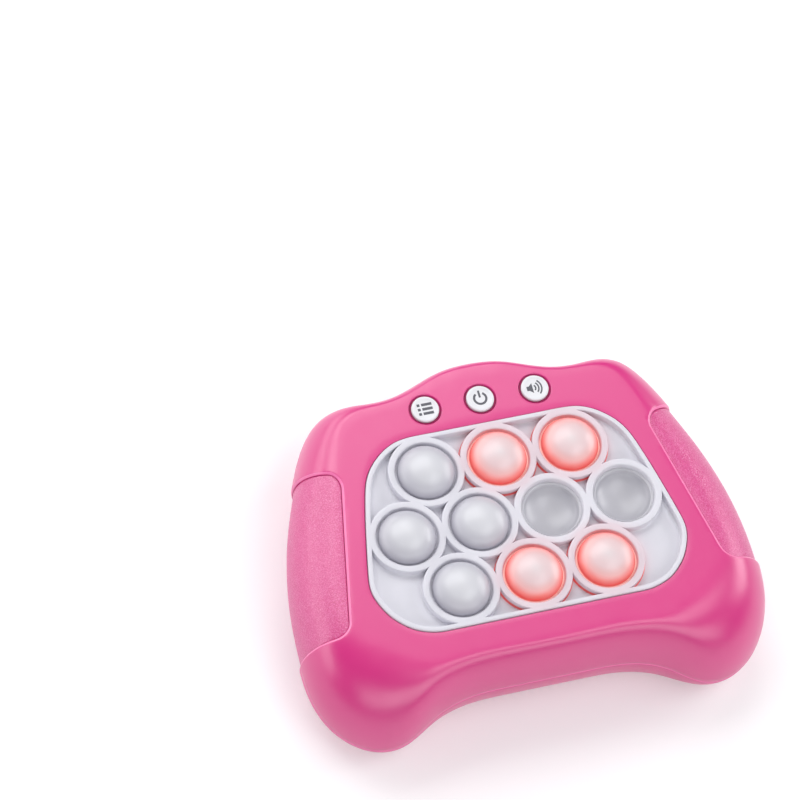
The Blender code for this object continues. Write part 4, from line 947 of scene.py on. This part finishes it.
def build_dome(number, centre):
    """One thin dome, built turned inside out through its ring where the bubble is pressed."""
    top = DOME_BOTTOM if number in PRESSED else DOME_TOP
    upper = [(DOME_RADIUS * math.sin(turn), top * math.cos(turn) ** 0.94)
             for turn in np.linspace(0, math.pi / 2, 25)[:-1]]
    upper += [(DOME_RADIUS, 0.0), (9.12, -0.13), (9.22, -0.24), (9.36, -0.31), (9.52, -0.33)]
    lower = [(0.0, top - DOME_THICKNESS)]
    for k, (radius, level) in enumerate(upper[1:], start=1):
        along = np.array(upper[min(k + 1, len(upper) - 1)]) - np.array(upper[k - 1])
        along *= DOME_THICKNESS / np.linalg.norm(along)
        lower.append((max(radius + along[1], 0.0), level - along[0]))
    profile = [(radius, DOME_BASE + level) for radius, level in upper + lower[::-1]]
    dome = turned("dome_%d" % number, profile, 96, centre, 60)
    reach = away_from(coordinates(dome.data), [centre])[0] / 9.5
    add_attribute(dome.data, "reach", np.clip(reach, 0, 1.1))
    return dome


def build_post(number, centre):
    """The post and contact under a dome."""
    top = DOME_BASE + (-5.0 if number in PRESSED else 4.6)
    low = top - 4.55
    profile = ((0, top), (2.2, top), (2.2, low + 0.5), (2.0, low + 0.3), (2.0, low), (0, low))
    return turned("dome_post_%d" % number, profile, 40, centre)


# Buttons

def build_button(name, centre):
    """A push button with a rounded cap. A flange under the shell keeps it in its hole."""
    top = BUTTON_TOP
    face = BUTTON_FACE
    under = BODY_DEPTH - WALL - GAP
    profile = [(0, face), (2.0, face), (3.2, face), (3.3, face + 0.02), (3.42, top - 0.06)]
    profile += [(3.54, top), (3.7, top)]
    for turn in np.radians((0, 15, 30, 45, 60, 75, 90)):
        profile.append((BUTTON_RADIUS - 0.4 + 0.4 * math.sin(turn), top - 0.4 + 0.4 * math.cos(turn)))
    profile += [(BUTTON_RADIUS, under), (5.6, under), (5.6, under - 1.2)]
    profile += [(2.0, under - 1.2), (2.0, 29.8), (0, 29.8)]
    return turned(name, profile, 96, centre)


def build_gap_shade(name, centre):
    """A dark ring in the gap round a button: painted shade, a dark piece where the gap lies in shadow."""
    low, high = BODY_DEPTH - 1.4, BODY_DEPTH - 0.3
    inner, outer = BUTTON_RADIUS + 0.05, HOLE_RADIUS - 0.02
    profile = ((inner, high - 0.2), (inner + 0.1, high - 0.05), ((inner + outer) / 2, high),
               (outer - 0.1, high - 0.05), (outer, high - 0.2), (outer, low), (inner, low))
    return turned(name, profile, 72, centre, 50)


def raised(name, outlines, centre):
    """Flat shapes that stand a hair proud of a button's cap."""
    points = []
    faces = []
    for outline in outlines:
        start, count = len(points), len(outline)
        for level in (BUTTON_FACE - 0.06, BUTTON_FACE + 0.05):
            points += [(x, y, level) for x, y in np.array(outline) + centre]
        faces += band(start, count)
        faces.append(tuple(start + i for i in reversed(range(count))))
        faces.append(tuple(start + count + i for i in range(count)))
    return add_mesh(name, points, faces, smooth=False)


def bar(x0, y0, x1, y1, width):
    """A straight stroke with square ends."""
    a, b = np.array((x0, y0)), np.array((x1, y1))
    along = (b - a) / np.linalg.norm(b - a)
    out = np.array((-along[1], along[0])) * width / 2
    return [a + out, a - out, b - out, b + out]


def arc(radius, width, first, last, x=0.0):
    """A curved stroke."""
    turns = np.radians(np.linspace(first, last, 20))
    outer, inner = ([(x + reach * math.cos(turn), reach * math.sin(turn)) for turn in turns]
                    for reach in (radius + width / 2, radius - width / 2))
    return outer + inner[::-1]


def icons():
    """The outlines of the list, power and loudspeaker symbols."""
    rows = [bar(first, level, last, level, 0.9) for level in (1.55, 0.0, -1.55)
            for first, last in ((-2.4, -1.5), (-0.95, 2.4))]
    power = [arc(1.95, 0.72, 124, 416), bar(0, 0.3, 0, 2.75, 0.66)]
    horn = [(-2.6, -0.75), (-1.85, -0.75), (-0.7, -1.75), (-0.7, 1.75), (-1.85, 0.75), (-2.6, 0.75)]
    return rows, power, [horn] + [arc(radius, 0.48, -48, 48, -0.9) for radius in (1.15, 2.15, 3.1)]


# Materials

def srgb(colour, share=1.0):
    """A screen colour as linear light, made darker or lighter by a share."""
    parts = [c / 255 for c in colour]
    linear = [part / 12.92 if part <= 0.04045 else ((part + 0.055) / 1.055) ** 2.4 for part in parts]
    return (*[min(1, part * share) for part in linear], 1.0)


class Nodes:
    """A node tree. Colours of three numbers are screen colours, and those of four are linear."""

    def __init__(self, tree):
        self.tree = tree

    def feed(self, socket, value):
        """Gives an input a value or another node's output."""
        if isinstance(value, bpy.types.NodeSocket):
            self.tree.links.new(value, socket)
        else:
            socket.default_value = srgb(value) if socket.type == "RGBA" and len(value) == 3 else value

    def fill(self, node, **inputs):
        for name, value in inputs.items():
            self.feed(node.inputs[name.replace("_", " ")], value)
        return node

    def node(self, kind, **inputs):
        return self.fill(self.tree.nodes.new("ShaderNode" + kind), **inputs)

    def mix(self, share, first, second):
        """Blends two colours."""
        node = self.node("Mix")
        node.data_type = "RGBA"
        self.feed(node.inputs["Factor"], share)
        for socket, value in zip([s for s in node.inputs if s.type == "RGBA"], (first, second)):
            self.feed(socket, value)
        return [s for s in node.outputs if s.type == "RGBA"][0]


class Look(Nodes):
    """A material under construction. Its pattern lies in the piece's own coordinates, with sizes in mm."""

    def __init__(self, name, roughness, **sockets):
        self.material = bpy.data.materials.new(name)
        self.material.use_nodes = True
        super().__init__(self.material.node_tree)
        self.shader = self.tree.nodes["Principled BSDF"]
        self.fill(self.shader, Roughness=roughness, **sockets)
        self.place = self.node("TexCoord").outputs["Object"]

    def noise(self, size, detail, roughness=0.5, stretch=None):
        """A soft random pattern, from 0 to 1, with features of about this size."""
        place = self.place
        if stretch:
            place = self.node("Mapping", Scale=stretch, Vector=place).outputs["Vector"]
        node = self.node("TexNoise", Scale=1 / (size * MM), Detail=detail, Roughness=roughness, Vector=place)
        return node.outputs["Fac"]

    def attribute(self, name):
        node = self.node("Attribute")
        node.attribute_name = name
        return node.outputs["Fac"]

    def stretch(self, value, low, high, to_low, to_high):
        """Maps a range of a value to another."""
        node = self.node("MapRange", Value=value, From_Min=low, From_Max=high, To_Min=to_low, To_Max=to_high)
        return node.outputs["Result"]

    def uneven(self, pattern, low, high):
        """Runs between two values with a random pattern."""
        return self.stretch(pattern, 0.3, 0.7, low, high)

    def ramp(self, value, *stops):
        """Colours along a value, as (place, red, green, blue)."""
        node = self.node("ValToRGB", Fac=value)
        band = node.color_ramp
        while len(band.elements) < len(stops):
            band.elements.new(0.5)
        for element, (place, *colour) in zip(band.elements, stops):
            element.position = place
            element.color = srgb(colour)
        return node.outputs["Color"]

    def finish(self, colour, roughness, height, strength, depth):
        """Gives the shader its patterns, and relief of a depth in mm."""
        bump = self.node("Bump", Strength=strength, Distance=depth * MM, Height=height)
        self.fill(self.shader, Base_Color=colour, Roughness=roughness, Normal=bump.outputs["Normal"])
        return self.material


def moulded(name, colour, roughness=0.32, shift=0.06, grain=0.9, depth=0.006, **sockets):
    """Moulded plastic: a slightly uneven colour and gloss, and a fine even grain."""
    look = Look(name, roughness, **sockets)
    return look.finish(look.mix(look.noise(14, 3), srgb(colour, 1 - shift), srgb(colour, 1 + shift)),
                       look.uneven(look.noise(6, 2), roughness * 0.92, roughness * 1.08),
                       look.noise(grain, 1), 0.3, depth)


def grip_material():
    """Spark-eroded plastic: satin, with a fine grain that varies its gloss, and lighter pink points in its
    colour as a painted sparkle.
    """
    look = Look("grip_texture", 0.38, IOR=1.56, Specular_IOR_Level=0.98)
    grain_and_glint = look.noise(0.36, 2, 0.6)
    # The lighter pink points are a painted sparkle on the real grain
    base = look.ramp(grain_and_glint, (0.34, 195, 34, 112), (0.5, 207, 52, 129), (0.66, 222, 110, 167))
    grains = look.node("TexVoronoi", Scale=1 / (0.42 * MM), Vector=look.place)
    return look.finish(look.mix(look.uneven(look.noise(12, 2), 0.0, 0.3), base, (213, 64, 138)),
                       look.uneven(grain_and_glint, 0.42, 0.27), grains.outputs["Distance"], 0.7, 0.1)


def mat_material():
    """Milky silicone, with painted light where the light under the lit bubbles would show: a pink tint,
    and red colour and emission in the thin walls of the rings.
    """
    look = Look("milky_silicone", 0.4, Subsurface_Weight=0.08, Subsurface_Scale=1.0 * MM,
                Subsurface_Radius=(1.0, 0.9, 0.95), Emission_Strength=0.15)
    base = look.mix(look.noise(9, 3), (208, 207, 215), (215, 214, 222))
    # Painted light: a pink tint near the lit bubbles
    glow_tinted = look.mix(look.stretch(look.attribute("glow"), 0.0, 1.0, 0.0, 0.16), base, (236, 130, 140))
    stroke = look.attribute("stroke")
    # Painted glow: red emission and colour in the ring walls round the lit bubbles
    look.fill(look.shader, Emission_Color=look.ramp(stroke, (0.0, 0, 0, 0), (1.0, 190, 70, 66)))
    return look.finish(look.mix(stroke, glow_tinted, (226, 96, 96)), look.uneven(look.noise(4, 3), 0.36, 0.46),
                       look.noise(0.9, 2), 0.25, 0.006)


def bubble_material(name, colours, glow=()):
    """The thin silicone of a bubble. Its colours along reach carry painted shade and highlights, and for a
    lit bubble the painted light under it, which also glows as emission.
    """
    look = Look(name, 0.36, Coat_Weight=0.35, Coat_Roughness=0.22)
    reach = look.attribute("reach")
    if glow:
        look.fill(look.shader, Emission_Color=look.ramp(reach, *glow), Emission_Strength=0.3)
    cloud = look.stretch(look.noise(6, 3), 0.35, 0.65, 0.0, 0.1)
    return look.finish(look.mix(cloud, look.ramp(reach, *colours), (200, 199, 206)),
                       look.uneven(look.noise(3, 3), 0.32, 0.42), look.noise(0.9, 2), 0.2, 0.006)


def steel_material():
    """Plated steel with a fine drawn grain."""
    colour = (190, 190, 194)
    look = Look("plated_steel", 0.32, Metallic=1.0)
    return look.finish(look.mix(look.noise(2, 4), srgb(colour, 0.8), colour),
                       look.uneven(look.noise(0.4, 3, stretch=(1, 6, 1)), 0.24, 0.416),
                       look.noise(0.4, 3, stretch=(1, 8, 1)), 0.3, 0.01)


def board_material():
    """A green board: tracks show faintly under its lacquer."""
    look = Look("board_lacquer", 0.35)
    tracks = look.node("TexBrick", Scale=1 / (6 * MM), Color1=(20, 96, 48), Color2=(24, 108, 54),
                       Mortar=(40, 140, 70), Vector=look.place).outputs
    green = look.mix(look.noise(3, 3), tracks["Color"], (16, 86, 42))
    return look.finish(green, 0.35, tracks["Fac"], 0.4, 0.03)


def cell_material():
    """The jacket of a cell: dark film with a lighter band at one end."""
    look = Look("cell_jacket_film", 0.3, Coat_Weight=0.4, Coat_Roughness=0.15)
    band = look.stretch(look.node("SeparateXYZ", Vector=look.place).outputs["X"], 0.0100, 0.0103, 0, 1)
    return look.finish(look.mix(band, (52, 58, 68), (176, 150, 92)), look.uneven(look.noise(2, 3), 0.25, 0.4),
                       look.noise(0.8, 3), 0.2, 0.01)


def paint_edge_highlights(shell, light):
    """Gives the edges of the grip pockets, and the edge under the parting line, a lighter pink: a painted
    highlight where a thin rounded edge catches the light."""
    shell.data.materials.append(light)
    middles = np.array([face.center for face in shell.data.polygons]) / MM
    middles[:, 0] = abs(middles[:, 0])
    border = grip_border(0)
    flank = np.nonzero(middles[:, 0] > border[:, 0].min() - 2)[0]
    within = inward(middles[flank, :2], border)
    chosen = set(flank[(within > -0.7) & (within < -0.04)])
    if shell.name.startswith("rear"):
        line = FORM.edge(np.linspace(0, HALF_TURN, 601), 0.0, 0.0)
        low, high = line[:, 2].min() - 0.5, line[:, 2].max() + 0.1
        band = np.nonzero((middles[:, 2] > low) & (middles[:, 2] < high))[0]
        for part in np.array_split(band, 20):
            gaps = np.linalg.norm(middles[part, None, :] - line, axis=2).min(axis=1)
            chosen |= set(part[gaps < 0.44])
    for k in chosen:
        shell.data.polygons[k].material_index = 1


def floor_material():
    """A plain floor, white to the eye, that keeps the object's shadow."""
    look = Look("floor_paint", 0.85, Specular_IOR_Level=0.1, Emission_Color=(1, 1, 1, 1))
    rays = look.node("LightPath").outputs
    seen = rays["Is Camera Ray"]
    for kind in ("Is Glossy Ray", "Is Transmission Ray"):
        either = look.node("Math")
        either.operation = "MAXIMUM"
        look.feed(either.inputs[0], seen)
        look.feed(either.inputs[1], rays[kind])
        seen = either.outputs["Value"]
    look.fill(look.shader, Base_Color=look.mix(look.noise(60, 3), (231, 231, 232), (235, 235, 236)),
              Emission_Strength=look.stretch(seen, 0, 1, 0, 0.22))
    return look.material


# Putting it together

def paint(piece, material):
    piece.data.materials.clear()
    piece.data.materials.append(material)


def place(piece, body, slot, material, *nodes):
    """Paints a new piece, lets it move with a body, and hides the CAD nodes that it stands for."""
    paint(piece, material)
    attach(piece, body)
    if nodes:
        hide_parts(*nodes)
    return piece


def build_housing():
    pink = moulded("pink_abs", (210, 35, 124), 0.33, 0.03, 2.2, 0.012, Specular_IOR_Level=0.95,
                   Coat_Weight=0.45, Coat_Roughness=0.42)
    # A lighter pink, painted on thin edges as the highlight that they catch
    light = moulded("painted_edge_highlight", (238, 116, 172), 0.36, 0.03, 2.2, 0.012, Specular_IOR_Level=0.8)
    for front, node in ((True, "front_shell"), (False, "rear_shell")):
        paint_edge_highlights(place(build_shell(front), "housing", "pink_plastic", pink, node), light)
    place(battery_door(), "battery_door", "pink_plastic", pink, "battery_door")
    texture = grip_material()
    for grip, node in zip(build_grips(), ("right_grip", "left_grip")):
        place(grip, "housing", "grip_plastic", texture, node)


def build_bubbles():
    place(build_mat(), "housing", "pearl_silicone", mat_material(), "bubble_mat")
    plain = bubble_material("clear_bubble", PLAIN_COLOURS)
    # A darker copy of the bubble colours, as painted shade in the pressed cups
    pressed = bubble_material("shaded_pressed_bubble", SHADED_PRESSED_COLOURS)
    # Painted light: the red light under a lit bubble, in its colour and its emission
    lit = bubble_material("lit_bubble", LIT_COLOURS, GLOW_COLOURS)
    rubber = moulded("conductive_rubber", (60, 60, 66), 0.6)
    for number, middle in enumerate(CENTRES, start=1):
        dome = build_dome(number, middle)
        paint(dome, lit if number in LIT else pressed if number in PRESSED else plain)
        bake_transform(dome)
        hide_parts("bubble_%d" % number)
        place(build_post(number, middle), "bubble_%d" % number, "bubble_silicone", rubber)


def build_buttons():
    white = moulded("white_cap", (220, 220, 224), 0.36, 0.015, Coat_Weight=0.1)
    ink = moulded("grey_ink", (88, 88, 96), 0.5)
    # A dark magenta ring in each button's gap, as painted shade for the shadow there
    rubber = moulded("gap_shade_dark", (150, 12, 80), 0.6)
    for centre, name, shapes in zip(BUTTONS, ("menu", "power", "volume"), icons()):
        body = name + "_button"
        place(build_button(name + "_cap", centre), body, "white_plastic", white, body)
        place(raised(name + "_icon", shapes, centre), body, "black_plastic", ink)
        place(build_gap_shade(name + "_gap_shade", centre), "housing", "black_plastic", rubber)


def build_screws(steel):
    for number, (x, y) in enumerate(HOUSING_SCREWS, start=1):
        piece = screw("case_screw_%d" % number, x, y, 9.3, 2.5, 1.3, 15, 25)
        place(piece, "housing", "steel", steel, "housing_screw_%d" % number)
    piece = screw("hatch_screw", 0, DOOR_SCREW_Y, 1, 2.3, 0.9, 5, 6)
    place(piece, "battery_door", "steel", steel, "door_screw")


def dress_nodes(steel):
    """Gives the CAD pieces that stay their finishes, by the start or the end of their names."""
    black = moulded("black_moulding", (38, 38, 40), 0.5)
    looks = {
        "mat_frame": moulded("white_frame", (214, 214, 218), 0.45),
        "circuit_board": board_material(),
        "controller_chip": black,
        "_lead_red": moulded("red_jacket", (190, 28, 28), 0.5),
        "_lead_black": black,
        "_switch": black,
        "battery_cell": cell_material(),
        "led_": moulded("led_resin", (240, 236, 214), 0.25),
        "contact": steel,
        "board_screw": steel,
        "speaker": moulded("speaker_paper", (46, 44, 46), 0.75, 0.15, 0.8, 0.05),
    }
    for name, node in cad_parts.items():
        for part, look in looks.items():
            if name.startswith(part) or name.endswith(part):
                paint(node, look)
                break


def build_stage():
    """A pale floor with soft studio light."""
    far = FLOOR_HALF
    corners = [(-far, -far, 0), (far, -far, 0), (far, far, 0), (-far, far, 0)]
    floor = add_mesh("floor", corners, [(0, 1, 2, 3)], smooth=False)
    floor.location.z = -FLOOR_DROP * MM
    paint(floor, floor_material())
    world = bpy.data.worlds.new("studio")
    world.use_nodes = True
    sky = Nodes(world.node_tree)
    seen = sky.node("LightPath").outputs["Is Camera Ray"]
    sky.fill(sky.tree.nodes["Background"], Color=sky.mix(seen, (0.12, 0.12, 0.13, 1), (1, 1, 1, 1)))
    bpy.context.scene.world = world
    for lamp in LAMPS:
        add_lamp(*lamp)
    bpy.context.scene.view_settings.view_transform = "Standard"


def add_lamp(name, place_at, size, power):
    """A soft rectangular lamp that faces the object."""
    light = bpy.data.lights.new(name, "AREA")
    light.shape = "RECTANGLE"
    light.size, light.size_y = size
    light.energy = power
    holder = bpy.data.objects.new(name, light)
    holder.location = place_at
    holder.rotation_euler = (Vector((0, 0, 0.02)) - Vector(place_at)).to_track_quat("-Z", "Y").to_euler()
    bpy.context.scene.collection.objects.link(holder)


place_camera()
build_stage()
build_housing()
build_bubbles()
build_buttons()
steel_look = steel_material()
build_screws(steel_look)
dress_nodes(steel_look)
